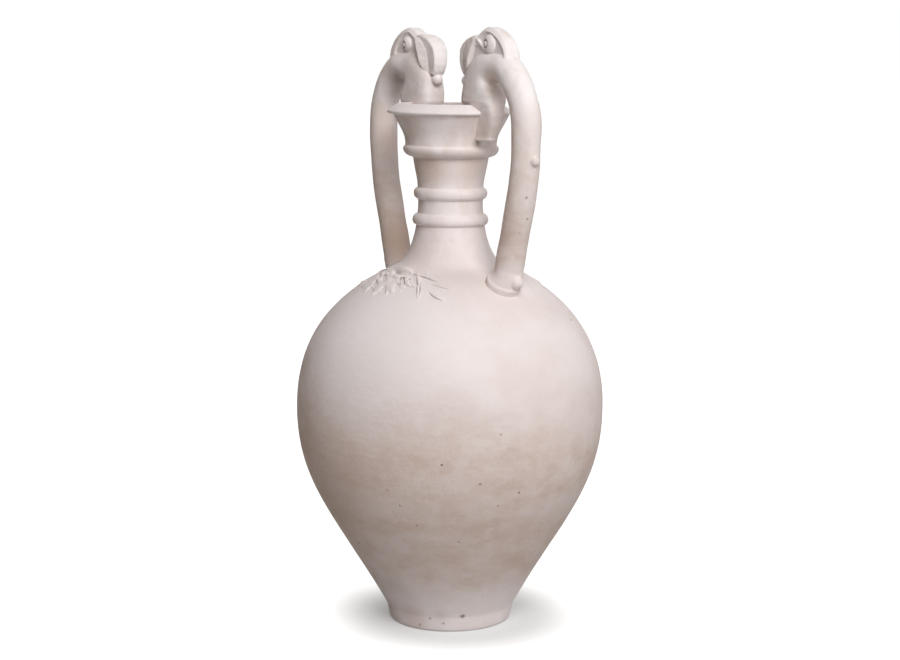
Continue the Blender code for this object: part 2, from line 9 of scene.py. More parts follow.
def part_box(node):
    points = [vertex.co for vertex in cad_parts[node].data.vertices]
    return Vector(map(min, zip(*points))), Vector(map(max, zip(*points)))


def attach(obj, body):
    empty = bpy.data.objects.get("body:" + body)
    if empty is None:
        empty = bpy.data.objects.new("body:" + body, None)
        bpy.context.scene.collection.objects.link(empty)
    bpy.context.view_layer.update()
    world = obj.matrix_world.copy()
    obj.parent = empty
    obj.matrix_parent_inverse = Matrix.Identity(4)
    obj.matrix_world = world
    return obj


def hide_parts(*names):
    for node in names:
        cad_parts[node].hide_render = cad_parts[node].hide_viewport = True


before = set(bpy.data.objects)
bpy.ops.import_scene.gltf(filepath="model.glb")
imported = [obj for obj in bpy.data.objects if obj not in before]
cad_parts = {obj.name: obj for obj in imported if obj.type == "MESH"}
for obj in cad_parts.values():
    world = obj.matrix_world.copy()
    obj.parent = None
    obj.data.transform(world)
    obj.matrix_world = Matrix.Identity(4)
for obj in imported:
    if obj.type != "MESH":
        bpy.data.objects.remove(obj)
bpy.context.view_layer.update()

# levels and radii taken from the frame's own pieces
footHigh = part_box("foot")[1]
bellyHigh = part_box("lower_body")[1]
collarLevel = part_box("upper_body")[1].z
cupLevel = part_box("neck")[1].z
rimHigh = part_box("mouth_cup")[1]
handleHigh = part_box("right_handle")[1]
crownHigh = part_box("right_dragon_head")[1]


# curves in a plane through the axis, as (radius, height) points

def bezier(start, startPull, endPull, end, steps=60):
    points = []
    for k in range(steps + 1):
        t = k / steps
        s = 1 - t
        weights = (s ** 3, 3 * s * s * t, 3 * s * t * t, t ** 3)
        corners = (start, startPull, endPull, end)
        points.append(tuple(sum(w * c[i] for w, c in zip(weights, corners)) for i in (0, 1)))
    return points


def evenly(points, spacing):
    spread = [points[0]]
    for a, b in zip(points, points[1:]):
        count = max(1, round(math.dist(a, b) / spacing))
        spread += [(a[0] + (b[0] - a[0]) * k / count, a[1] + (b[1] - a[1]) * k / count)
                   for k in range(1, count + 1)]
    return spread


def softened(points, passes):
    for _ in range(passes):
        middle = [((a[0] + 2 * b[0] + c[0]) / 4, (a[1] + 2 * b[1] + c[1]) / 4)
                  for a, b, c in zip(points, points[1:], points[2:])]
        points = [points[0]] + middle + [points[-1]]
    return points


def thinned(points, bend, reach):
    kept = [points[0]]
    turned = 0.0
    for a, b, c in zip(points, points[1:], points[2:]):
        before = math.atan2(b[1] - a[1], b[0] - a[0])
        after = math.atan2(c[1] - b[1], c[0] - b[0])
        turned += abs(math.remainder(after - before, math.tau))
        if turned > bend or math.dist(b, kept[-1]) > reach:
            kept.append(b)
            turned = 0.0
    return kept + [points[-1]]


def leftOf(points, distance):
    moved = []
    for i, point in enumerate(points):
        a = points[max(i - 1, 0)]
        b = points[min(i + 1, len(points) - 1)]
        length = math.dist(a, b)
        moved.append((point[0] - (b[1] - a[1]) / length * distance,
                      point[1] + (b[0] - a[0]) / length * distance))
    return moved


def radiusAt(points, level):
    for (r0, z0), (r1, z1) in zip(points, points[1:]):
        if z0 <= level <= z1 and z1 > z0:
            return r0 + (r1 - r0) * (level - z0) / (z1 - z0)
    return points[-1][0]


# meshes

def meshFrom(name, verts, faces):
    mesh = bpy.data.meshes.new(name)
    mesh.from_pydata(verts, [], faces)
    mesh.shade_smooth()
    mesh.validate()
    return mesh


def linked(name, data):
    thing = bpy.data.objects.new(name, data)
    bpy.context.collection.objects.link(thing)
    return thing


# painted shade for hollows and grooves, kept as a point attribute
def withHollowShade(mesh, shares):
    grooveShade = mesh.attributes.new("hollow", "FLOAT", "POINT")
    grooveShade.data.foreach_set("value", np.asarray(shares, np.float32))
    return mesh


def loftInto(verts, faces, rings):
    start = len(verts)
    count = len(rings[0])
    for ring in rings:
        verts.extend(tuple(p) for p in ring)
    for i in range(len(rings) - 1):
        low = start + i * count
        for k in range(count):
            n = (k + 1) % count
            faces.append((low + k, low + n, low + count + n, low + count + k))
    faces.append(tuple(start + k for k in range(count))[::-1])
    faces.append(tuple(start + (len(rings) - 1) * count + k for k in range(count)))


# the thrown neck and its handles lean a little to one side of the foot

lean = {"angle": 0.6, "turn": 54, "pivot": 0.30, "start": 0.29, "end": 0.33}


def leaned(mesh):
    spots = np.empty(len(mesh.vertices) * 3)
    mesh.vertices.foreach_get("co", spots)
    x, y, z = spots.reshape(-1, 3).T
    share = np.clip((z - lean["start"]) / (lean["end"] - lean["start"]), 0, 1)
    angle = np.radians(lean["angle"]) * share * share * (3 - 2 * share)
    side = (math.cos(math.radians(lean["turn"])), math.sin(math.radians(lean["turn"])))
    along = x * side[0] + y * side[1]
    rise = z - lean["pivot"]
    shift = along * (np.cos(angle) - 1) + rise * np.sin(angle)
    drop = rise * (np.cos(angle) - 1) - along * np.sin(angle)
    moved = np.stack([x + shift * side[0], y + shift * side[1], z + drop], 1)
    mesh.vertices.foreach_set("co", moved.ravel())


def addPiece(name, mesh, finish, slotName, *nodes):
    leaned(mesh)
    piece = linked(name, mesh)
    mesh.materials.clear()
    mesh.materials.append(finish)
    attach(piece, "root")
    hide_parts(*nodes)
    return piece


# shader nodes, whose values are links or plain settings

def addNode(tree, kind, values, operation=None):
    node = tree.nodes.new("ShaderNode" + kind)
    if operation:
        node.operation = operation
    for socket, value in values.items():
        if isinstance(value, bpy.types.NodeSocket):
            tree.links.new(value, node.inputs[socket])
        else:
            node.inputs[socket].default_value = value
    return node


def smoothRange(tree, value, low, high, toLow=0.0, toHigh=1.0):
    node = addNode(tree, "MapRange", {"Value": value, "From Min": low, "From Max": high,
                                      "To Min": toLow, "To Max": toHigh})
    node.interpolation_type = "SMOOTHSTEP"
    return node.outputs["Result"]


def gapTo(tree, position, spot):
    return addNode(tree, "VectorMath", {0: position, 1: spot}, "DISTANCE").outputs["Value"]


def blend(tree, share, under, over):
    node = tree.nodes.new("ShaderNodeMix")
    node.data_type = "RGBA"
    for socket, value in (("Factor", share), ("A", under), ("B", over)):
        if isinstance(value, tuple):
            node.inputs[socket].default_value = (*value, 1)
        else:
            tree.links.new(value, node.inputs[socket])
    return node.outputs["Result"]


# finish: matt off-white slip over a buff clay, mottled, stained and pitted
# a grain is its noise scale (where the look gives none), detail, roughness and stretch

surface = {
    "cloudDetail": 5, "cloudRange": (0.35, 0.68),
    "stainGrain": (7, 0.66, (1, 1, 1.7)), "stainRange": (0.36, 0.70),
    "flakeGrain": (8, 0.7, (1, 1, 1.8)), "bareRange": (0.54, 0.62), "thickRange": (0.44, 0.37),
    "smearGrain": (42, 6, 0.6, (1, 1, 0.6)), "smearRange": (0.42, 0.62),
    "toothGrain": (900, 2), "toothRange": (0.52, 0.75),
    "pitSpread": 0.04, "pitCore": 0.45, "pitStrength": 0.6, "pitDepth": 0.0008,
    "edgeRange": (0.50, 0.60), "creaseShadeRange": (0.49, 0.40), "hollowShadeRange": (0.12, 0.7),
    "sheenGrain": (60, 4), "sheenRange": (0.3, 0.7),
    "fineGrain": (420, 6, 0.6), "fineDepth": 0.0006,
    "dentGrain": (130, 4, 0.6, (1, 1, 1.4)), "dentDepth": 0.002,
    "lineGrain": (260, 3, 0.5, (0.03, 0.03, 1)), "lineDepth": 0.001,
}


def clayFinish(name, look):
    finish = bpy.data.materials.new(name)
    finish.use_nodes = True
    tree = finish.node_tree
    shader = tree.nodes["Principled BSDF"]
    place = addNode(tree, "NewGeometry", {}).outputs
    position = place["Position"]
    height = addNode(tree, "SeparateXYZ", {0: position}).outputs["Z"]

    def noiseOf(scale, detail, rough=0.55, stretch=(1, 1, 1), shift=(0, 0, 0)):
        spread = addNode(tree, "VectorMath", {0: position, 1: stretch, 2: shift}, "MULTIPLY_ADD")
        grain = {"Vector": spread.outputs[0], "Scale": scale, "Detail": detail, "Roughness": rough}
        return addNode(tree, "TexNoise", grain).outputs["Fac"]

    def remap(*values):
        return smoothRange(tree, *values)

    def times(a, b):
        return addNode(tree, "Math", {0: a, 1: b}, "MULTIPLY").outputs[0]

    def coat(under, mask, share, tone):
        return blend(tree, times(mask, look[share]), under, look[tone])

    def bump(value, strength, depth, under=None):
        node = addNode(tree, "Bump", {"Height": value, "Strength": strength, "Distance": depth})
        if under:
            tree.links.new(under.outputs[0], node.inputs["Normal"])
        return node

    # thin and thick slip, and the dragons' heads painted paler from a set height up, as painted light
    clouds = noiseOf(look["cloudScale"], surface["cloudDetail"], shift=look["cloudShift"])
    colour = blend(tree, remap(clouds, *surface["cloudRange"]), look["slip"], look["thinSlip"])
    if look["headLightShare"]:
        colour = coat(colour, remap(height, *look["headLightLevels"]), "headLightShare", "wornLipAndPaintedLight")
    # brown stain that gathers low on the piece; painted shade in the same brown on the side turned away from
    # the key lamp
    lowness = times(remap(height, look["stainTop"], look["stainFull"]), remap(height, *look["stainFoot"]))
    patches = noiseOf(look["stainScale"], *surface["stainGrain"])
    patches = remap(patches, *surface["stainRange"], *look["patches"])
    colour = coat(colour, times(lowness, patches), "stainShare", "stainAndShade")
    along = addNode(tree, "VectorMath", {0: place["Normal"], 1: look["shadeSide"]}, "DOT_PRODUCT")
    paintedSideShade = remap(along.outputs["Value"], *look["shadeSideSpread"])
    colour = coat(colour, times(paintedSideShade, patches), "shadeSideShare", "stainAndShade")
    # small flakes of bare clay and of thick slip where the stain lies
    flakes = noiseOf(look["flakeScale"], *surface["flakeGrain"])
    colour = coat(colour, times(lowness, remap(flakes, *surface["bareRange"])), "flakeShare", "bareClayAndShade")
    colour = coat(colour, times(lowness, remap(flakes, *surface["thickRange"])), "flakeShare", "slip")
    # faint smears higher up, on the neck and cup
    smear = remap(noiseOf(*surface["smearGrain"]), *surface["smearRange"])
    colour = coat(colour, times(remap(height, *look["smearRise"]), smear), "smearShare", "stainAndShade")
    # fine tooth of the fired clay
    tooth = remap(noiseOf(*surface["toothGrain"]), *surface["toothRange"])
    colour = coat(colour, tooth, "toothShare", "thinSlip")
    # scattered brown specks and small dark pits
    cells = addNode(tree, "TexVoronoi", {"Vector": position, "Scale": look["pitScale"]}).outputs
    chance = addNode(tree, "SeparateColor", {0: cells["Color"]}).outputs["Red"]
    rare = remap(chance, look["pitChance"], look["pitChance"] + surface["pitSpread"])
    near = remap(cells["Distance"], look["pitSize"], look["pitSize"] * surface["pitCore"])
    pits = times(times(rare, near), remap(height, *look["pitLevels"]))
    colour = coat(colour, pits, "pitShare", "pitAndShade")
    # marks at known places, each fading out to its size
    for spot, size, share, tone in look["marks"]:
        mark = times(remap(gapTo(tree, position, spot), size, 0.0), share)
        colour = blend(tree, mark, colour, look[tone])
    # pale worn edges, partly painted highlight on ridges, and the lip's pale wear; painted shade darkens
    # creases and hollows
    colour = coat(colour, remap(place["Pointiness"], *surface["edgeRange"]), "edgeWearAndHighlightShare", "edge")
    colour = coat(colour, remap(place["Pointiness"], *surface["creaseShadeRange"]), "creaseShadeShare", "stainAndShade")
    if look["lipShare"]:
        colour = coat(colour, remap(height, *look["lipLevels"]), "lipShare", "wornLipAndPaintedLight")
    if look["hollowShadeShare"]:
        hollow = addNode(tree, "Attribute", {})
        hollow.attribute_name = "hollow"
        colour = coat(colour, remap(hollow.outputs["Fac"], *surface["hollowShadeRange"]), "hollowShadeShare", "pitAndShade")
    tree.links.new(colour, shader.inputs["Base Color"])
    sheen = remap(noiseOf(*surface["sheenGrain"]), *surface["sheenRange"], *look["roughness"])
    tree.links.new(sheen, shader.inputs["Roughness"])
    shader.inputs["Specular IOR Level"].default_value = look["specular"]
    # grain, dents, throwing lines and pits in the surface
    fine = bump(noiseOf(*surface["fineGrain"]), look["grainStrength"], surface["fineDepth"])
    dents = bump(noiseOf(*surface["dentGrain"]), look["dentStrength"], surface["dentDepth"], fine)
    lines = bump(noiseOf(*surface["lineGrain"]), look["lineStrength"], surface["lineDepth"], dents)
    sunk = bump(pits, surface["pitStrength"], surface["pitDepth"], lines)
    sunk.invert = True
    tree.links.new(sunk.outputs[0], shader.inputs["Normal"])
    return finish


# vessel: foot, body, ringed neck and mouth cup as one skin, as the slip covers their joins

vessel = {
    "facets": 224, "wall": 0.007, "neckWall": 0.006, "cupWall": 0.0052,
    "footTaper": 0.0024, "footEdge": 0.0016, "baseHollow": 0.0012, "floor": 0.0242,
    "flankLean": 0.565, "flankPulls": (0.0794, 0.0663),
    "shoulderPulls": (0.0700, 0.0347), "shoulderSlope": 0.446, "collarRadius": 0.0466,
    "rootPull": 0.015, "waist": (0.0269, 0.055), "waistPull": 0.021,
    "neckTop": 0.0313, "topFlare": 0.0014, "topPull": 0.014,
    "rings": ((0.0390, 0.0038), (0.0603, 0.0037)), "ringBreadth": 0.0093,
    "flange": 0.0393, "flangeBreadth": 0.0092, "cupRoot": 0.0378,
    "cupPulls": (0.011, 0.011), "cupFlare": 0.0045,
    "lipDrop": 0.0068, "lipOverhang": 0.0040, "lipUndercut": 0.0016, "rim": 0.0432, "rimBreadth": 0.0016,
    "lipShift": 0.0014, "lipTurn": 234, "hollowEdge": (0.78, 0.84), "ringSteps": 24, "neckTrim": 4,
    "spacing": 0.0005, "softPasses": 4, "keepTurn": 5, "keepReach": 0.004,
    "wobble": 0.00045, "wobbleScale": 16, "settleHeight": 0.03, "ridgeScale": (4, 150), "ridgeShare": 0.22,
}


def flankLine():
    lowPull, highPull = vessel["flankPulls"]
    start = (footHigh.x, footHigh.z)
    end = (bellyHigh.x, bellyHigh.z)
    startPull = (start[0] + vessel["flankLean"] * lowPull, start[1] + lowPull)
    return bezier(start, startPull, (end[0], end[1] - highPull), end)


def shoulderLine():
    lowPull, highPull = vessel["shoulderPulls"]
    start = (bellyHigh.x, bellyHigh.z)
    end = (vessel["collarRadius"], collarLevel)
    endPull = (end[0] + highPull, end[1] - highPull * vessel["shoulderSlope"])
    return bezier(start, (start[0], start[1] + lowPull), endPull, end)


def neckLine():
    root = (vessel["collarRadius"], collarLevel)
    waist = (vessel["waist"][0], collarLevel + vessel["waist"][1])
    top = (vessel["neckTop"], cupLevel)
    rootPull = (root[0] - vessel["rootPull"], root[1] + vessel["rootPull"] * vessel["shoulderSlope"])
    lower = bezier(root, rootPull, (waist[0], waist[1] - vessel["waistPull"]), waist)
    upper = bezier(waist, (waist[0], waist[1] + vessel["waistPull"]),
                   (top[0] - vessel["topFlare"], top[1] - vessel["topPull"]), top)
    return lower + upper[1:]


def ringedNeckLine():
    plain = neckLine()
    half = vessel["ringBreadth"] / 2
    steps = vessel["ringSteps"]
    line = []
    level = collarLevel
    for height, reach in vessel["rings"]:
        middle = collarLevel + height
        line += [p for p in plain if level <= p[1] < middle - half]
        for k in range(steps + 1):
            turn = math.pi * k / steps
            z = middle - math.cos(turn) * half
            line.append((radiusAt(plain, z) + reach * math.sin(turn), z))
        level = middle + half
    return line + [p for p in plain if p[1] > level]


def cupLine():
    root, top, breadth = vessel["cupRoot"], vessel["neckTop"], vessel["flangeBreadth"]
    swell = vessel["flange"] - (top + root) / 2
    steps = vessel["ringSteps"]
    line = []
    for k in range(steps + 1):
        turn = math.pi * k / steps
        base = top + (root - top) * k / steps
        line.append((base + swell * math.sin(turn), cupLevel + breadth * (1 - math.cos(turn)) / 2))
    lipLevel = rimHigh.z - vessel["lipDrop"]
    start = line[-1]
    end = (rimHigh.x - vessel["lipOverhang"], lipLevel - vessel["lipUndercut"])
    line += bezier(start, (start[0], start[1] + vessel["cupPulls"][0]),
                   (end[0] - vessel["cupFlare"], end[1] - vessel["cupPulls"][1]), end)[1:]
    blunt = vessel["lipUndercut"] / 2
    under = (rimHigh.x - blunt, lipLevel - vessel["lipUndercut"])
    edge = [(rimHigh.x, lipLevel - blunt), (rimHigh.x, lipLevel + blunt)]
    return line, [under] + edge + [(vessel["rim"], rimHigh.z)]


def skinShift(x, y, z):
    across, up = vessel["ridgeScale"]
    settle = min(1.0, max(0.0, z / vessel["settleHeight"]))
    slow = noise.noise(Vector((x, y, z)) * vessel["wobbleScale"])
    ridges = noise.noise(Vector((x * across, y * across, z * up)))
    return vessel["wobble"] * settle * (slow + vessel["ridgeShare"] * ridges)


def vesselOutline():
    footFlat = footHigh.x - vessel["footTaper"]
    edge, hollow, trim = vessel["footEdge"], vessel["baseHollow"], vessel["neckTrim"]
    inner, outer = (footFlat * share for share in vessel["hollowEdge"])
    base = [(0.0, hollow), (inner, hollow), (outer, 0.0), (footFlat - edge, 0.0), (footFlat, edge)]
    wallCup, lip = cupLine()
    body = flankLine() + shoulderLine()[1:]
    outside = base + body + ringedNeckLine()[1:] + wallCup[1:] + lip
    inBody = [p for p in leftOf(body, vessel["wall"]) if p[1] > vessel["floor"] + vessel["wall"]]
    inNeck = leftOf(neckLine(), vessel["neckWall"])
    inCup = leftOf(wallCup[vessel["ringSteps"]:], vessel["cupWall"])
    inside = [(0.0, vessel["floor"]), (inBody[0][0] - vessel["wall"], vessel["floor"])]
    inside += inBody + inNeck[trim:-trim] + inCup + [(vessel["rim"] - vessel["rimBreadth"], rimHigh.z)]
    outline = outside + inside[::-1]
    outline = softened(evenly(outline, vessel["spacing"]), vessel["softPasses"])
    return thinned(outline, math.radians(vessel["keepTurn"]), vessel["keepReach"])


def vesselMesh():
    count = vessel["facets"]
    verts = []
    faces = []
    outline = vesselOutline()
    lipTurn = math.radians(vessel["lipTurn"])
    lipFoot = rimHigh.z - vessel["lipDrop"] - vessel["lipUndercut"]
    for r, z in outline[1:-1]:
        ease = min(1.0, max(0.0, (z - lipFoot) / vessel["lipUndercut"] + 0.5))
        shift = vessel["lipShift"] * ease
        for k in range(count):
            turn = math.tau * k / count
            x, y = math.cos(turn), math.sin(turn)
            reach = r + skinShift(x * r, y * r, z)
            verts.append((x * reach + shift * math.cos(lipTurn), y * reach + shift * math.sin(lipTurn), z))
    rows = len(outline) - 2
    for i in range(rows - 1):
        for k in range(count):
            n = (k + 1) % count
            faces.append((i * count + k, i * count + n, (i + 1) * count + n, (i + 1) * count + k))
    for end, row in ((outline[0], 0), (outline[-1], rows - 1)):
        pole = len(verts)
        verts.append((0.0, 0.0, end[1]))
        for k in range(count):
            n = (k + 1) % count
            ring = (row * count + k, row * count + n)
            faces.append((pole, ring[1], ring[0]) if row == 0 else (pole, ring[0], ring[1]))
    return meshFrom("vessel", verts, faces)


# pits and stains on the foot and belly: turn and height on the skin, size, share

footPits = ((65, 0.0145, 0.0034, 0.9), (25, 0.0045, 0.0025, 0.9), (36, 0.0120, 0.0021, 0.8),
            (48, 0.0080, 0.0016, 0.7))
bellyPits = (
    (81, 0.132, 0.0018, 0.9), (65, 0.142, 0.0017, 0.9), (72, 0.182, 0.0014, 0.7), (119, 0.083, 0.0019, 0.9),
    (73, 0.122, 0.0014, 0.7), (40, 0.105, 0.0014, 0.7), (58, 0.090, 0.0015, 0.7), (30, 0.135, 0.0014, 0.6),
)
footStains = ((20, 0.011, 0.018, 0.45), (46, 0.015, 0.012, 0.3))
footInset = 0.001  # pits on the foot lie this far inside its top edge
# brownish darker marks on the cup and lower belly, painted shadow under the right toe, painted shade on the
# neck beside the handles and a patch of painted light on the upper left shoulder: place, size, share and colour
bodyStains = [
    ((0.001, -0.0425, 0.420), 0.010, 0.45, "stainAndShade"), ((0.001, -0.0405, 0.410), 0.011, 0.5, "stainAndShade"),
    # painted shadow under the right toe, on the flange ring
    ((0.0395, -0.001, 0.4035), 0.007, 0.8, "paintedShade"),
    # painted shade on the neck beside the handles
    ((0.0095, -0.0274, 0.383), 0.024, 0.75, "stainAndShade"), ((0.0290, -0.0006, 0.382), 0.024, 0.5, "stainAndShade"),
    # lower belly darker; a patch of painted light on the upper left shoulder
    ((0.0029, -0.1151, 0.131), 0.075, 0.55, "stainAndShade"), ((0.0168, -0.1045, 0.262), 0.090, 0.8, "wornLipAndPaintedLight"),
    ((0.0086, -0.0421, 0.4232), 0.016, 0.4, "stainAndShade"),
]


def skinSpot(turn, height):
    a = math.radians(turn)
    radius = radiusAt(flankLine(), height) if height > footHigh.z else footHigh.x - footInset
    return (math.sin(a) * radius, -math.cos(a) * radius, height)


bodyMarks = [(skinSpot(*spot), size, share, "pitAndShade") for *spot, size, share in footPits + bellyPits]
bodyMarks += [(skinSpot(*spot), size, share, "stainAndShade") for *spot, size, share in footStains]
bodyMarks += bodyStains
clayLook = {
    "slip": (0.86, 0.79, 0.785), "thinSlip": (0.80, 0.71, 0.69), "bareClayAndShade": (0.52, 0.38, 0.30),
    "edge": (0.90, 0.84, 0.825), "wornLipAndPaintedLight": (0.93, 0.885, 0.88),
    "stainAndShade": (0.60, 0.455, 0.375), "pitAndShade": (0.16, 0.11, 0.08), "paintedShade": (0.34, 0.26, 0.23),
    "cloudScale": 16, "cloudShift": (0.31, 0.12, 0.07), "patches": (0.5, 1.0), "stainScale": 24,
    "stainTop": 0.25, "stainFull": 0.13, "stainFoot": (0.015, 0.065), "stainShare": 0.9,
    # painted shade, brown, on the side turned away from the key lamp
    "shadeSide": (-0.65, -0.75, -0.1), "shadeSideSpread": (0.60, 0.98), "shadeSideShare": 0.8,
    "flakeScale": 85, "flakeShare": 0.17, "smearRise": (0.29, 0.33), "smearShare": 0.3, "toothShare": 0.35,
    "pitScale": 60, "pitChance": 0.88, "pitSize": 0.085, "pitShare": 0.7, "pitLevels": (0.31, 0.25),
    "edgeWearAndHighlightShare": 0.5, "creaseShadeShare": 0.5, "hollowShadeShare": 0.0, "headLightShare": 0.0,
    "lipShare": 0.6, "lipLevels": (rimHigh.z - 0.0085, rimHigh.z - 0.0055),
    "roughness": (0.55, 0.75), "specular": 0.3,
    "grainStrength": 0.25, "dentStrength": 0.22, "lineStrength": 0.12, "marks": bodyMarks,
}
# ornament ridges paler, partly painted highlight
ornamentLook = dict(clayLook, slip=(0.875, 0.81, 0.80), edgeWearAndHighlightShare=0.8, hollowShadeShare=0.72, lipShare=0.0,
                    pitChance=0.99, lineStrength=0.0, marks=())
vesselClay = clayFinish("vessel clay", clayLook)
ornamentClay = clayFinish("ornament clay", ornamentLook)
print("finishes: body and ornament")

addPiece("vessel", vesselMesh(), vesselClay, "vessel_clay",
         "foot", "lower_body", "upper_body", "neck", "mouth_cup")
print("vessel: turned skin")


# places on the shoulder's skin, from plan offsets across and out from the axis

neckRootSteps = 40  # points of the neck's line that count as shoulder
shoulderSkin = shoulderLine() + neckLine()[1:neckRootSteps]


def skinFrame(radius):
    for (r0, z0), (r1, z1) in zip(shoulderSkin, shoulderSkin[1:]):
        if r1 <= radius <= r0:
            break
    length = math.hypot(r0 - r1, z1 - z0)
    height = z0 + (z1 - z0) * (radius - r0) / (r1 - r0)
    return height, ((z1 - z0) / length, (r0 - r1) / length)


# dragon handles, in the plane of +X: out from the axis, across, and up

dragon = {
    "voxel": 0.00055, "smoothPasses": 3, "smoothing": 0.5, "unevenness": 0.0006, "unevenScale": 45,
    "radius": 0.0118, "seat": 0.069, "lean": 0.28, "legPull": 0.056, "legSteps": 40,
    "reachDrop": 0.018, "reachPull": 0.024, "archCentre": 0.069, "crestDrop": 0.002, "archPull": 0.012,
    "throatPull": 0.018, "throatRise": 0.008, "archSteps": 20,
    "fullFrom": 0.75, "lateness": 2.2, "boxiness": 0.42, "sides": 64,
    "padRadius": 0.0148, "padThickness": 0.0054, "padSink": 0.004, "padShift": (-0.0020, -0.0027),
    "padRings": ((0.0, 0.84), (-0.0008, 1.0), (-0.0016, 1.02)), "padSlope": 0.3,
    "skirtStart": 4, "skirtSteps": 8, "skirtFlare": 2.4,
    "beadRadius": 0.0040, "footBeadRadius": 0.0055, "beads": (0.85, 0.05),
    "pearl": (0.0210, 0.0, 0.4540), "pearlRadius": 0.0049, "snoutBulge": 0.0012, "snoutSteps": 4,
    "right": {"footSide": 0.0065, "throat": 0.0436, "depth": 0.0190, "half": 0.0120,
              "snoutShift": 0.0008, "finShare": 0.8},
    "left": {"footSide": 0.003, "throat": 0.0424, "depth": 0.0204, "half": 0.0120,
             "snoutShift": -0.0032, "finShare": 1.0},
}
# chest over the lip, downward: height, inner reach, outer reach, half width
chestStations = {
    "right": (
        (0.4431, 0.0246, 0.0626, 0.0120), (0.4375, 0.0240, 0.0628, 0.0118), (0.4335, 0.0262, 0.0634, 0.0094),
        (0.4270, 0.0310, 0.0640, 0.0076), (0.4190, 0.0345, 0.0615, 0.0062), (0.4125, 0.0365, 0.0580, 0.0047),
        (0.4092, 0.0375, 0.0560, 0.0042), (0.4066, 0.0380, 0.0560, 0.0046),
    ),
    "left": (
        (0.4431, 0.0220, 0.0628, 0.0120), (0.4360, 0.0222, 0.0632, 0.0118), (0.4270, 0.0260, 0.0605, 0.0102),
        (0.4190, 0.0310, 0.0575, 0.0080), (0.4125, 0.0340, 0.0545, 0.0062), (0.4092, 0.0355, 0.0540, 0.0060),
        (0.4066, 0.0365, 0.0545, 0.0068),
    ),
}
# cheek fins, upward: height, face reach and half width, fin reach and half width
cheekStations = (
    (0.4560, 0.0290, 0.0055, 0.0300, 0.0062), (0.4610, 0.0255, 0.0064, 0.0287, 0.0082),
    (0.4655, 0.0252, 0.0070, 0.0298, 0.0103), (0.4700, 0.0255, 0.0074, 0.0315, 0.0113),
    (0.4780, 0.0268, 0.0080, 0.0345, 0.0114), (0.4840, 0.0315, 0.0084, 0.0375, 0.0106),
    (0.4882, 0.0375, 0.0085, 0.0400, 0.0094),
)
# snout, downward along its curl: front, back, half width
snoutStations = (
    ((0.0440, 0.4905), (0.0440, 0.4830), 0.0068), ((0.0360, 0.4897), (0.0380, 0.4815), 0.0075),
    ((0.0290, 0.4875), (0.0335, 0.4785), 0.0077), ((0.0234, 0.4835), (0.0300, 0.4765), 0.0076),
    ((0.0200, 0.4790), (0.0280, 0.4745), 0.0073), ((0.0188, 0.4725), (0.0268, 0.4705), 0.0069),
    ((0.0191, 0.4660), (0.0262, 0.4660), 0.0064), ((0.0206, 0.4610), (0.0262, 0.4620), 0.0059),
    ((0.0228, 0.4580), (0.0264, 0.4595), 0.0056),
)
crown = {
    "nape": (0.0810, 0.4740), "napePull": 0.0110, "top": 0.0540, "topPull": 0.0130, "steps": 24,
    "rimHalf": 0.0074, "rimSpare": 0.0006, "rightRim": (0.0026, 0.0022), "leftRim": (0.0085, 0.0042),
    "chamfer": (0.0012, 0.0036), "chamferShare": 0.8, "chamferGrowth": 1.8,
    "brow": ((0.0500, 0.4960), (0.0460, 0.4938), (0.0415, 0.4903)), "front": (0.0340, 0.4850),
    "base": 0.4600, "panelHalf": 0.0059, "panelInset": 0.0010,
    "fold": ((0.0400, 0.4895), (0.0530, 0.4795)), "foldHalf": 0.0013, "foldOver": 0.0004,
    "finDepth": 0.0042, "finEdge": 0.0013, "finSink": 0.0005,
}


def rounded(depth, half, boxiness, sides):
    section = []
    for k in range(sides):
        turn = math.tau * k / sides
        c, s = math.cos(turn), math.sin(turn)
        section.append((math.copysign(abs(c) ** boxiness, c) * depth,
                        math.copysign(abs(s) ** boxiness, s) * half))
    return section


def rollPath(own):
    radius = dragon["radius"]
    foot = (dragon["seat"], skinFrame(dragon["seat"])[0])
    widest = (handleHigh.x - radius, rimHigh.z - dragon["reachDrop"])
    crest = (dragon["archCentre"], handleHigh.z - radius - dragon["crestDrop"])
    throat = (own["throat"], rimHigh.z + dragon["throatRise"])
    leg = bezier(foot, (foot[0] + dragon["lean"] * dragon["legPull"], foot[1] + dragon["legPull"]),
                 (widest[0], widest[1] - dragon["legPull"]), widest, dragon["legSteps"])
    rising = bezier(widest, (widest[0], widest[1] + dragon["reachPull"]),
                    (crest[0] + dragon["archPull"], crest[1]), crest, dragon["archSteps"])
    falling = bezier(crest, (crest[0] - dragon["throatPull"], crest[1]),
                     (throat[0], throat[1] + dragon["throatPull"]), throat, dragon["archSteps"])
    return leg + rising[1:] + falling[1:]


def legSide(own, step):
    return own["footSide"] * max(0.0, 1 - step / dragon["legSteps"]) ** 2


def rollRings(own):
    path = rollPath(own)
    last = len(path) - 1
    radius, steps = dragon["radius"], dragon["archSteps"]
    rings = []
    for i, (u, z) in enumerate(path):
        spine = (-1.0, 0.0)  # the throat ends straight down
        if i < last:
            a, b = path[max(i - 1, 0)], path[i + 1]
            length = math.dist(a, b)
            spine = ((b[1] - a[1]) / length, -(b[0] - a[0]) / length)
        # from the crest down, the section grows deeper and squarer, later on the hollow side
        fall = min(1.0, max(0.0, (i - last + steps) / steps))
        late = fall ** dragon["lateness"]
        ease = min(1.0, fall / dragon["fullFrom"])
        ease = ease * ease * (3 - 2 * ease)
        growth = own["depth"] - radius
        depths = (radius + growth * ease, radius + growth * late)
        half = radius + (own["half"] - radius) * ease
        section = rounded(1.0, half, 1 + (dragon["boxiness"] - 1) * late, dragon["sides"])
        section = [(d * depths[0 if d > 0 else 1], h) for d, h in section]
        rings.append([(u + spine[0] * d, h + legSide(own, i), z + spine[1] * d) for d, h in section])
    return rings


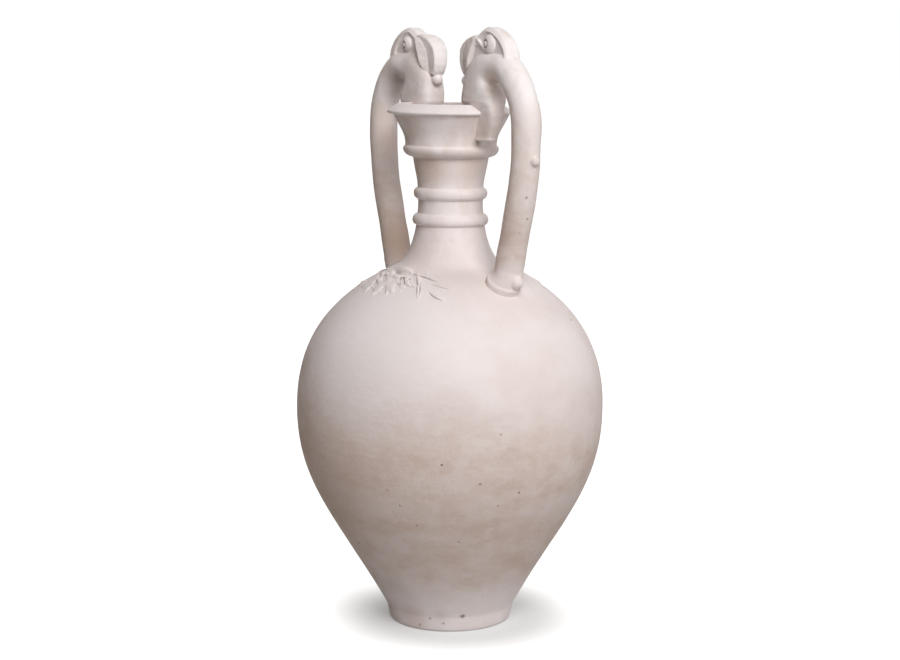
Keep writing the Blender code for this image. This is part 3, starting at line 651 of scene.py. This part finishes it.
def spinePoint(own, share):
    path = rollPath(own)
    i = max(1, round(share * dragon["legSteps"]))
    (u0, z0), (u1, z1) = path[i - 1], path[i + 1]
    length = math.hypot(u1 - u0, z1 - z0)
    return (path[i][0] + (z1 - z0) / length * dragon["radius"], legSide(own, i),
            path[i][1] - (u1 - u0) / length * dragon["radius"])


def ballInto(verts, faces, centre, radius, sides=24, bands=12):
    rings = []
    for i in range(1, bands):
        polar = math.pi * i / bands
        ring = []
        for k in range(sides):
            turn = math.tau * k / sides
            ring.append((centre[0] + radius * math.sin(polar) * math.cos(turn),
                         centre[1] + radius * math.sin(polar) * math.sin(turn),
                         centre[2] + radius * math.cos(polar)))
        rings.append(ring[::-1])
    loftInto(verts, faces, rings)


def padInto(verts, faces, own):
    height, normal = skinFrame(dragon["seat"])
    out = Vector((normal[1], 0.0, -normal[0]))
    up = Vector((normal[0], 0.0, normal[1]))
    shift = dragon["padShift"]
    centre = Vector((dragon["seat"], 0.0, height)) + out * shift[0]
    radius, top = dragon["padRadius"], dragon["padThickness"]
    steps = [(0.0, -dragon["padSink"])] + [(shrink, top * share) for shrink, share in dragon["padRings"]]
    rings = []
    for shrink, lift in steps:
        ring = []
        for k in range(dragon["sides"]):
            turn = math.tau * k / dragon["sides"]
            sag = -((radius * math.sin(turn)) ** 2) / (2 * dragon["seat"] / max(normal[0], dragon["padSlope"]))
            spot = centre + out * (radius + shrink) * math.cos(turn) + up * (lift + sag)
            ring.append((spot.x, (radius + shrink) * math.sin(turn) + own["footSide"] + shift[1], spot.z))
        rings.append(ring)
    loftInto(verts, faces, rings)
    # flared skirt that joins the pad to the roll
    start, end = rings[-1], rollRings(own)[dragon["skirtStart"]]
    skirt = []
    for k in range(dragon["skirtSteps"] + 1):
        t = k / dragon["skirtSteps"]
        drawn = 1 - (1 - t) ** dragon["skirtFlare"]
        skirt.append([(a[0] + (b[0] - a[0]) * drawn, a[1] + (b[1] - a[1]) * drawn, a[2] + (b[2] - a[2]) * t)
                      for a, b in zip(start, end)])
    loftInto(verts, faces, skirt)


def crownInto(verts, faces, label):
    nape, top = crown["nape"], (crown["top"], crownHigh.z)
    arc = [(nape[0], crown["base"])] + bezier(nape, (nape[0], nape[1] + crown["napePull"]),
                                              (top[0] + crown["topPull"], top[1]), top, crown["steps"])
    arc += crown["brow"]
    # side panel, set back behind the rim
    outline = leftOf(arc, crown["panelInset"]) + [crown["front"], (crown["front"][0], crown["base"])]
    loftInto(verts, faces, [[(u, side * crown["panelHalf"], z) for u, z in outline] for side in (-1, 1)])
    half = crown["rimHalf"]
    if label == "right":
        # fold of the brow, from the root of the snout to below the eye
        bar, wide = crown["foldHalf"], half + crown["foldOver"]
        corners = ((-wide, bar), (wide, bar), (wide, -bar), (-wide, -bar))
        loftInto(verts, faces, [[(u, v, z + lift) for v, lift in corners] for u, z in crown["fold"]])
    # rim round the panel, with an outer chamfer that grows towards the top
    rear, upper = crown[label + "Rim"]
    low, high = crown["chamfer"]
    rings = []
    for k, ((u, z), ahead) in enumerate(zip(arc, arc[1:] + arc[-1:])):
        behind = arc[max(k - 1, 0)]
        length = math.dist(behind, ahead)
        inward = (-(ahead[1] - behind[1]) / length, (ahead[0] - behind[0]) / length)
        share = k / (len(arc) - 1)
        chamfer = low + (high - low) * min(1.0, share * crown["chamferGrowth"])
        width = max(rear + (upper - rear) * share, chamfer + crown["rimSpare"])
        inset = half - crown["chamferShare"] * chamfer
        section = [(width, -half), (chamfer, -half), (0.0, -inset)]
        section += [(d, -v) for d, v in section[::-1]]
        rings.append([(u + inward[0] * d, v, z + inward[1] * d) for d, v in section])
    loftInto(verts, faces, rings)


def cheeksInto(verts, faces, finShare):
    rings = []
    for z, face, faceHalf, fin, finHalf in cheekStations:
        finHalf = max(faceHalf, finHalf * finShare)
        half = [(face, faceHalf), (fin, finHalf), (fin + crown["finEdge"], finHalf),
                (fin + crown["finDepth"], crown["panelHalf"] - crown["finSink"])]
        rings.append([(u, v, z) for u, v in half] + [(u, -v, z) for u, v in half[::-1]])
    loftInto(verts, faces, rings)


def snoutInto(verts, faces, shift):
    steps = dragon["snoutSteps"]
    rings = []
    for front, back, half in snoutStations:
        ring = []
        for k in range(-steps, steps + 1):
            share = k / steps
            bulge = dragon["snoutBulge"] * (1 - share * share)
            away = Vector((front[0] - back[0], front[1] - back[1])).normalized() * bulge
            ring.append((front[0] + shift + away.x, share * half, front[1] + away.y))
        ring += [(back[0], half, back[1]), (back[0], -half, back[1])]
        rings.append(ring)
    loftInto(verts, faces, rings)


def dragonMesh(label, seed):
    verts = []
    faces = []
    own = dragon[label]
    loftInto(verts, faces, rollRings(own))
    chest = []
    for z, inner, outer, half in chestStations[label]:
        section = rounded((outer - inner) / 2, half, dragon["boxiness"], dragon["sides"])
        chest.append([((outer + inner) / 2 - d, h, z) for d, h in section])
    loftInto(verts, faces, chest)
    padInto(verts, faces, own)
    crownInto(verts, faces, label)
    cheeksInto(verts, faces, own["finShare"])
    snoutInto(verts, faces, own["snoutShift"])
    ballInto(verts, faces, dragon["pearl"], dragon["pearlRadius"])
    for share, radius in zip(dragon["beads"], (dragon["beadRadius"], dragon["footBeadRadius"])):
        ballInto(verts, faces, spinePoint(own, share), radius)
    blank = meshFrom(label + "Blank", verts, faces)
    repair = bmesh.new()
    repair.from_mesh(blank)
    bmesh.ops.recalc_face_normals(repair, faces=repair.faces)
    repair.to_mesh(blank)
    repair.free()
    lump = linked(blank.name, blank)
    fuse = lump.modifiers.new("fuse", "REMESH")
    fuse.mode = "VOXEL"
    fuse.voxel_size = dragon["voxel"]
    fuse.use_smooth_shade = True
    ease = lump.modifiers.new("ease", "SMOOTH")
    ease.factor = dragon["smoothing"]
    ease.iterations = dragon["smoothPasses"]
    graph = bpy.context.evaluated_depsgraph_get()
    mesh = bpy.data.meshes.new_from_object(lump.evaluated_get(graph))
    bpy.data.objects.remove(lump)
    mesh.name = label + "Dragon"
    scale, start = dragon["unevenScale"], Vector((seed, 0, 0))
    lifts = [noise.noise(vert.co * scale + start) * dragon["unevenness"] for vert in mesh.vertices]
    moved = [vert.co + vert.normal * lift for vert, lift in zip(mesh.vertices, lifts)]
    mesh.vertices.foreach_set("co", [value for spot in moved for value in spot])
    mesh.shade_smooth()
    return mesh


# domed eyes with the pupil cut in as a ring, darkened with painted shade

eye = {
    "height": 0.0036, "sink": 0.0015, "grooveBreadth": 0.0007, "grooveDepth": 0.0013,
    "side": 0.0059, "level": 0.4836, "rings": 24, "sides": 48, "centre": 0.00005,
    "right": {"reach": 0.0590, "radius": 0.0077, "pupil": 0.0029, "pupilAt": (-0.0030, 0.0)},
    "left": {"reach": 0.0560, "radius": 0.0062, "pupil": 0.0024, "pupilAt": (0.0018, -0.0010)},
}


def eyeMesh(name, side, own):
    radius = own["radius"]
    rings = []
    grooveShade = []
    for i in range(eye["rings"] + 1):
        wide = max(radius * i / eye["rings"], eye["centre"])
        ring = []
        for k in range(eye["sides"]):
            turn = math.tau * k / eye["sides"] * side
            u, z = wide * math.cos(turn), wide * math.sin(turn)
            lift = eye["height"] * math.sqrt(max(0.0, 1 - (wide / radius) ** 2))
            gap = math.dist((u, z), own["pupilAt"]) - own["pupil"]
            # painted shade in the pupil's groove
            grooveShade.append(math.exp(-(gap / eye["grooveBreadth"]) ** 2))
            lift -= eye["grooveDepth"] * grooveShade[-1]
            ring.append((own["reach"] + u, side * (eye["side"] + max(lift, 0)), eye["level"] + z))
        rings.append(ring)
    rings.append([(u, side * (eye["side"] - eye["sink"]), z) for u, v, z in rings[-1]])
    verts = []
    faces = []
    loftInto(verts, faces, rings)
    return withHollowShade(meshFrom(name, verts, faces), grooveShade + [0.0] * eye["sides"])


# painted shade under the arches, darker marks on the left handle, partly dirt and partly painted shade, and a
# brown mark at the right root: place, size, share and colour

handleMarks = [
    ((0.066, -0.0054, 0.457), 0.015, 0.7, "stainAndShade"), ((0.062, -0.0034, 0.446), 0.013, 0.7, "paintedShade"),
    ((-0.072, -0.004, 0.456), 0.018, 0.8, "paintedShade"), ((-0.075, -0.002, 0.440), 0.018, 0.8, "paintedShade"),
    ((-0.063, -0.008, 0.316), 0.040, 0.8, "bareClayAndShade"), ((0.081, -0.008, 0.330), 0.026, 0.3, "stainAndShade"),
    ((-0.076, -0.006, 0.402), 0.020, 0.5, "stainAndShade"),
]
# specks on the right roll: ring, point on the ring, size, share
rollSpecks = ((25, 61, 0.0019, 0.8), (19, 0, 0.0018, 0.8), (15, 60, 0.0012, 0.5))
rightRings = rollRings(dragon["right"])
handleMarks += [(rightRings[ring][point], size, share, "pitAndShade") for ring, point, size, share in rollSpecks]
# handles: the dragons' heads painted paler from a set height up, as painted light
handleLook = dict(
    clayLook, slip=(0.85, 0.77, 0.75), headLightShare=0.85, headLightLevels=(0.424, 0.446), patches=(0.15, 1.0),
    stainScale=34, stainTop=0.44, stainFull=0.32, stainFoot=(0.300, 0.318), stainShare=0.7,
    pitChance=0.985, pitLevels=(0.44, 0.36), creaseShadeShare=0.8, hollowShadeShare=0.4, lipShare=0.0,
    lineStrength=0.0, marks=handleMarks,
)
handleClay = clayFinish("handle clay", handleLook)
print("finish: handles")

# each dragon: turn about the axis, start of its unevenness, names of its two sides
dragonParts = ("handle", "handle_pad", "rim_clasp", "dragon_head", "dragon_snout",
               "dragon_pearl", "spine_bead", "foot_bead")
dragonPair = (("right", 0.0, 3.0, ("front", "back")), ("left", math.pi, 11.0, ("back", "front")))
for label, turn, seed, sides in dragonPair:
    spin = Matrix.Rotation(turn, 4, "Z")
    mesh = dragonMesh(label, seed)
    mesh.transform(spin)
    addPiece(mesh.name, mesh, handleClay, "handle_clay", *[label + "_" + part for part in dragonParts])
    for side, name in ((-1, sides[0]), (1, sides[1])):
        dome = eyeMesh(label + "DragonEye" + name.title(), side, eye[label])
        dome.transform(spin)
        addPiece(dome.name, dome, handleClay, "ornament_clay", label + "_dragon_eye_" + name)
    print(label, "dragon:", len(mesh.vertices), "points")


# leaf sprays in low relief on the shoulder, in plan millimetres across and out from the axis

spray = {
    "span": (-62, 66), "columns": 360, "reach": (42, 86), "rows": 170, "margin": 3, "underside": -2.0,
    "sink": -0.6, "melt": 0.8, "hollowDepth": 2.0, "gain": 1.2, "fall": 1.5,
    "stem": 0.25, "leafSpan": (0.12, 0.86), "leafFullness": 0.8, "leafDome": 0.9,
    "edgeSpan": (0.10, 0.80), "edgeFullness": 0.7, "edgeFade": 1.2, "edgeWall": 3.0, "edgeEnds": 0.7,
    "wallBreadth": 0.2, "wallShade": 0.45,
}
# soft lobes round the bud, then narrow ridges: base, middle and tip, half width, height
sprayLobes = (
    ((8, 54.0), (17, 60.0), (25, 67.5), 6.0, 0.8), ((6, 56.0), (11, 66.0), (14, 76.0), 6.0, 0.9),
    ((0, 56.0), (1, 67.0), (2, 78.5), 6.0, 0.9), ((-5, 55.0), (-10, 65.0), (-13, 76.0), 6.0, 0.9),
    ((-9, 53.0), (-18, 61.0), (-27, 69.0), 6.0, 0.9), ((-12, 50.5), (-26, 54.0), (-40, 60.0), 5.0, 0.9),
)
sprayRidges = (
    ((25, 50.0), (37, 57.0), (45.0, 64.5), 2.3, 1.5), ((4.5, 58.9), (13, 58.8), (21.5, 55.0), 2.4, 1.9),
    ((16.0, 58.2), (26, 62.5), (34.5, 58.2), 2.0, 1.6),
)
# leaf edges, crisp on the outer side: three points, fade towards the neck, height
sprayEdges = (
    ((15, 50.2), (30, 47.6), (43.5, 43.2), 7.0, 1.6), ((42, 48.6), (50, 45.2), (58, 39.5), 6.0, 1.1),
    ((47.5, 54.5), (54.5, 56.6), (62.0, 51.3), 6.5, 1.5), ((-12, 48.5), (-28, 47.0), (-44, 42.5), 6.0, 0.8),
    ((-40, 57.5), (-50, 57.0), (-58, 51.0), 6.0, 0.8),
)
# mounds: place, half breadths across and out, height
sprayMounds = (
    ((-3, 62.0), (28.0, 15.0), 0.8), ((4.5, 50.0), (12.5, 4.4), 3.6), ((22.3, 44.0), (6.0, 4.0), 0.6),
    ((-7.8, 52.3), (5.0, 3.5), 2.0), ((-10.0, 56.7), (3.2, 2.4), 1.8), ((2.8, 63.5), (4.5, 3.0), 1.7),
    ((-10.0, 64.7), (3.5, 2.6), 1.8), ((-19.1, 54.6), (5.0, 3.0), 1.5), ((-36.7, 62.9), (6.0, 4.0), 1.1),
    ((17.7, 62.9), (5.0, 2.4), 1.4), ((17.2, 70.2), (5.0, 3.0), 1.4), ((23.8, 58.3), (3.0, 2.0), 1.9),
)
# pressed hollows and cuts between the leaves: start and end, half width, depth, painted shade in them
sprayHollows = (
    ((-1.2, 53.6), (13.7, 50.8), 2.2, 1.9, 0.35), ((22.0, 54.0), (32.0, 58.0), 2.0, 3.0, 1.0),
    ((16.5, 65.0), (22.5, 69.5), 1.5, 2.4, 1.0), ((21.0, 68.0), (28.0, 65.0), 1.6, 1.3, 1.0),
    ((33.0, 57.8), (44.2, 65.2), 0.8, 1.2, 1.0), ((32.5, 52.2), (45.4, 63.2), 0.8, 1.2, 1.0),
    ((18.5, 41.6), (26.0, 46.0), 1.6, 2.8, 1.4), ((-14.5, 56.0), (-8.0, 60.5), 1.0, 1.9, 1.0),
    ((-20.0, 57.2), (-15.0, 61.0), 1.1, 1.7, 1.0), ((-8.8, 60.0), (-2.5, 64.2), 1.2, 2.2, 1.0),
    ((13.5, 57.6), (20.5, 62.4), 1.8, 2.3, 1.0), ((6.5, 71.6), (13.5, 76.2), 1.4, 2.2, 1.0),
    ((-8.8, 74.0), (-2.5, 78.8), 1.4, 2.0, 1.0), ((-12.8, 66.4), (-6.0, 71.0), 1.4, 2.2, 1.0),
    ((-32.0, 52.0), (-27.0, 55.2), 1.1, 1.6, 1.0),
)


def curvePoints(a, b, c, steps=36):
    for k in range(steps + 1):
        t = k / steps
        s = 1 - t
        yield (t, *(s * s * a[i] + 2 * s * t * b[i] + t * t * c[i] for i in (0, 1)))


def leafRelief(x, y, base, middle, tip, half, height):
    stem, (start, length) = spray["stem"], spray["leafSpan"]
    best = np.full(x.shape, spray["sink"])
    for t, px, py in curvePoints(base, middle, tip):
        swell = math.sin(math.pi * min(1.0, start + length * t)) ** spray["leafFullness"]
        away = np.hypot(x - px, y - py) / (half * (stem + (1 - stem) * swell))
        dome = height * np.sqrt(np.clip(1 - away ** 2, 0, 1)) ** spray["leafDome"]
        best = np.maximum(best, np.where(away < 1, dome, -(away - 1) * spray["fall"]))
    return best


def edgeRelief(x, y, a, b, c, fade, height):
    nearest = np.full(x.shape, np.inf)
    side = np.zeros(x.shape)
    share = np.zeros(x.shape)
    points = list(curvePoints(a, b, c))
    for i, (t, px, py) in enumerate(points):
        _, qx, qy = points[min(i + 1, len(points) - 1)]
        _, ox, oy = points[max(i - 1, 0)]
        length = math.hypot(qx - ox, qy - oy)
        nx, ny = -(qy - oy) / length, (qx - ox) / length
        if nx * px + ny * py < 0:
            nx, ny = -nx, -ny
        away = np.hypot(x - px, y - py)
        closer = away < nearest
        side = np.where(closer, (x - px) * nx + (y - py) * ny, side)
        share = np.where(closer, t, share)
        nearest = np.minimum(nearest, away)
    start, length = spray["edgeSpan"]
    top = height * np.sin(np.pi * (start + length * share)) ** spray["edgeFullness"]
    fading = (1 - np.clip(-side / fade, 0, 1)) ** spray["edgeFade"]
    inner = spray["sink"] + (top - spray["sink"]) * fading
    overrun = np.sqrt(np.clip(nearest ** 2 - side ** 2, 0, None))
    leaf = np.where(side > 0, top - side * spray["edgeWall"], inner) - overrun * spray["edgeEnds"]
    # painted shadow line on the crisp outer wall of each edge
    return leaf, np.clip(side / spray["wallBreadth"], 0, 1) * spray["wallShade"]


def sprayRelief(x, y):
    relief = np.full(x.shape, spray["sink"])

    def meld(shape):
        shape = np.maximum(shape, spray["sink"])
        close = np.clip(1 - np.abs(shape - relief) / spray["melt"], 0, 1)
        raised = np.clip((np.minimum(shape, relief) - spray["sink"]) / spray["melt"], 0, 1)
        return np.maximum(shape, relief) + spray["melt"] / 4 * close ** 2 * raised

    for lobe in sprayLobes:
        relief = meld(leafRelief(x, y, *lobe))
    hollow = np.zeros(x.shape)
    for edge in sprayEdges:
        leaf, wall = edgeRelief(x, y, *edge)
        hollow = np.where(leaf > relief, wall, hollow)
        relief = np.maximum(relief, leaf)
    for (px, py), (wide, deep), height in sprayMounds:
        away = np.hypot((x - px) / wide, (y - py) / deep)
        dome = height * np.sqrt(np.clip(1 - away ** 2, 0, 1))
        relief = meld(np.where(away < 1, dome, -(away - 1) * spray["fall"]))
    for ridge in sprayRidges:
        relief = np.maximum(relief, leafRelief(x, y, *ridge))
    for a, b, half, depth, paintedShade in sprayHollows:
        run, rise = b[0] - a[0], b[1] - a[1]
        share = np.clip(((x - a[0]) * run + (y - a[1]) * rise) / math.dist(a, b) ** 2, 0, 1)
        away = np.hypot(x - a[0] - share * run, y - a[1] - share * rise) / half
        dent = depth * np.exp(-away ** 2)
        relief = relief - dent
        # painted shade kept in the hollows and cuts
        hollow = np.maximum(hollow, dent / spray["hollowDepth"] * paintedShade)
    return np.where(relief > 0, relief * spray["gain"], relief), np.clip(hollow, 0, 1)


def sprayMesh(name):
    columns, rows = spray["columns"], spray["rows"]
    angles = np.radians(np.linspace(*spray["span"], columns + 1))
    reaches = np.linspace(*spray["reach"], rows + 1)
    turn, reach = np.meshgrid(angles, reaches)
    relief, hollow = sprayRelief(reach * np.sin(turn), reach * np.cos(turn))
    margin = spray["margin"]
    inner = np.zeros(relief.shape, bool)
    inner[margin:-margin, margin:-margin] = True
    relief = np.where(inner, relief, np.minimum(relief, spray["sink"]))
    verts = []
    for floor in (False, True):
        for i in range(rows + 1):
            height, normal = skinFrame(reaches[i] / 1000)
            for k in range(columns + 1):
                lift = (spray["underside"] if floor else float(relief[i, k])) / 1000
                radius = reaches[i] / 1000
                x, y = math.sin(angles[k]), -math.cos(angles[k])
                radius += skinShift(x * radius, y * radius, height) + normal[0] * lift
                verts.append((x * radius, y * radius, height + normal[1] * lift))
    faces = []
    wide = columns + 1
    below = wide * (rows + 1)
    for i in range(rows):
        for k in range(columns):
            a = i * wide + k
            quad = (a, a + wide, a + wide + 1, a + 1)
            faces.append(quad)
            faces.append(tuple(v + below for v in quad[::-1]))
    loop = [k for k in range(columns)] + [i * wide + columns for i in range(rows)]
    loop += [rows * wide + k for k in range(columns, 0, -1)] + [i * wide for i in range(rows, 0, -1)]
    for a, b in zip(loop, loop[1:] + loop[:1]):
        faces.append((a, b, b + below, a + below))
    return withHollowShade(meshFrom(name, verts, faces), np.tile(hollow.ravel(), 2))


sprayParts = ["bud", "middle_leaf"] + [side + leaf for side in ("right_", "left_")
                                       for leaf in ("shoot", "frond", "finger", "lobe")]
for label, turn in (("front", 0.0), ("back", math.pi)):
    mesh = sprayMesh(label + "Spray")
    mesh.transform(Matrix.Rotation(turn, 4, "Z"))
    addPiece(mesh.name, mesh, ornamentClay, "ornament_clay",
             *[label + "_spray_" + part for part in sprayParts])
print("sprays: front and back")


# studio: pale floor, white surround, a large soft key from the front, weaker lamps at the side and behind

studio = {
    "floorSize": 40.0, "floorColour": (0.595, 0.60, 0.605), "floorRoughness": 0.9,
    # glow seen by the camera, lower near the foot: painted shade round it
    "glowCentre": (0.0068, 0.0030, 0.0), "glowStart": 0.055, "glowEnd": 0.143, "glowNear": 0.24, "glowFar": 1.0,
    # lamps: power, size, turn, rise and distance
    "key": (36.5, 1.3, 67, 38, 2.2), "back": (5, 1.4, 236, 42, 2.2), "side": (8.5, 1.4, 138, 24, 2.2),
    "aimHeight": 0.25, "skyLight": 0.13, "skyColour": (1.0, 0.86, 0.74),
}


def paleFloor():
    half = studio["floorSize"] / 2
    corners = [(-half, -half, 0), (half, -half, 0), (half, half, 0), (-half, half, 0)]
    mesh = meshFrom("floor", corners, [(0, 1, 2, 3)])
    floor = linked("floor", mesh)
    finish = bpy.data.materials.new("pale floor")
    finish.use_nodes = True
    tree = finish.node_tree
    shader = tree.nodes["Principled BSDF"]
    shader.inputs["Base Color"].default_value = (*studio["floorColour"], 1)
    shader.inputs["Roughness"].default_value = studio["floorRoughness"]
    shader.inputs["Specular IOR Level"].default_value = 0.0
    shader.inputs["Emission Color"].default_value = (1, 1, 1, 1)
    # the floor glows white to the camera away from the foot; the glow fades near the foot, where the real
    # shadow shows and the floor is also painted darker as painted shade
    away = gapTo(tree, addNode(tree, "NewGeometry", {}).outputs["Position"], studio["glowCentre"])
    spread = smoothRange(tree, away, *[studio["glow" + part] for part in ("Start", "End", "Near", "Far")])
    seen = addNode(tree, "LightPath", {}).outputs["Is Camera Ray"]
    glow = addNode(tree, "Math", {0: seen, 1: spread}, "MULTIPLY")
    tree.links.new(glow.outputs[0], shader.inputs["Emission Strength"])
    mesh.materials.append(finish)


def whiteSurround():
    world = bpy.data.worlds.new("surround")
    bpy.context.scene.world = world
    world.use_nodes = True
    tree = world.node_tree
    back = tree.nodes["Background"].inputs
    rays = addNode(tree, "LightPath", {}).outputs
    seen = addNode(tree, "Math", {0: rays["Is Camera Ray"], 1: rays["Is Glossy Ray"]}, "MAXIMUM").outputs[0]
    level = addNode(tree, "MapRange", {"Value": seen, "To Min": studio["skyLight"], "To Max": 1.0})
    tree.links.new(level.outputs["Result"], back["Strength"])
    tree.links.new(blend(tree, seen, studio["skyColour"], (1, 1, 1)), back["Color"])


def softLamp(name, power, size, turn, rise, far):
    data = bpy.data.lights.new(name, "AREA")
    data.shape = "DISK"
    data.size = size
    data.energy = power
    lamp = linked(name, data)
    aim = Vector((0, 0, studio["aimHeight"]))
    a, e = math.radians(turn), math.radians(rise)
    away = Vector((math.sin(a) * math.cos(e), -math.cos(a) * math.cos(e), math.sin(e)))
    lamp.location = aim + away * far
    lamp.rotation_euler = away.to_track_quat("Z", "Y").to_euler()


paleFloor()
whiteSurround()
for name in ("key", "back", "side"):
    softLamp(name, *studio[name])


# camera at the photograph's angle, worked out for a 900 by 660 frame

view = {"turn": 54.0, "distance": 1.5603, "height": 0.4770, "pitch": 8.412, "lens": 75.22, "sensor": 36.0}
cameraData = bpy.data.cameras.new("photo view")
cameraData.lens = view["lens"]
cameraData.sensor_fit = "HORIZONTAL"
cameraData.sensor_width = view["sensor"]
camera = linked("photo view", cameraData)
turn = math.radians(view["turn"])
camera.location = (math.sin(turn) * view["distance"], -math.cos(turn) * view["distance"], view["height"])
camera.rotation_euler = (math.radians(90 - view["pitch"]), 0, turn)
bpy.context.scene.camera = camera
bpy.context.scene.view_settings.view_transform = "Standard"
print("studio: floor, lamps and camera")
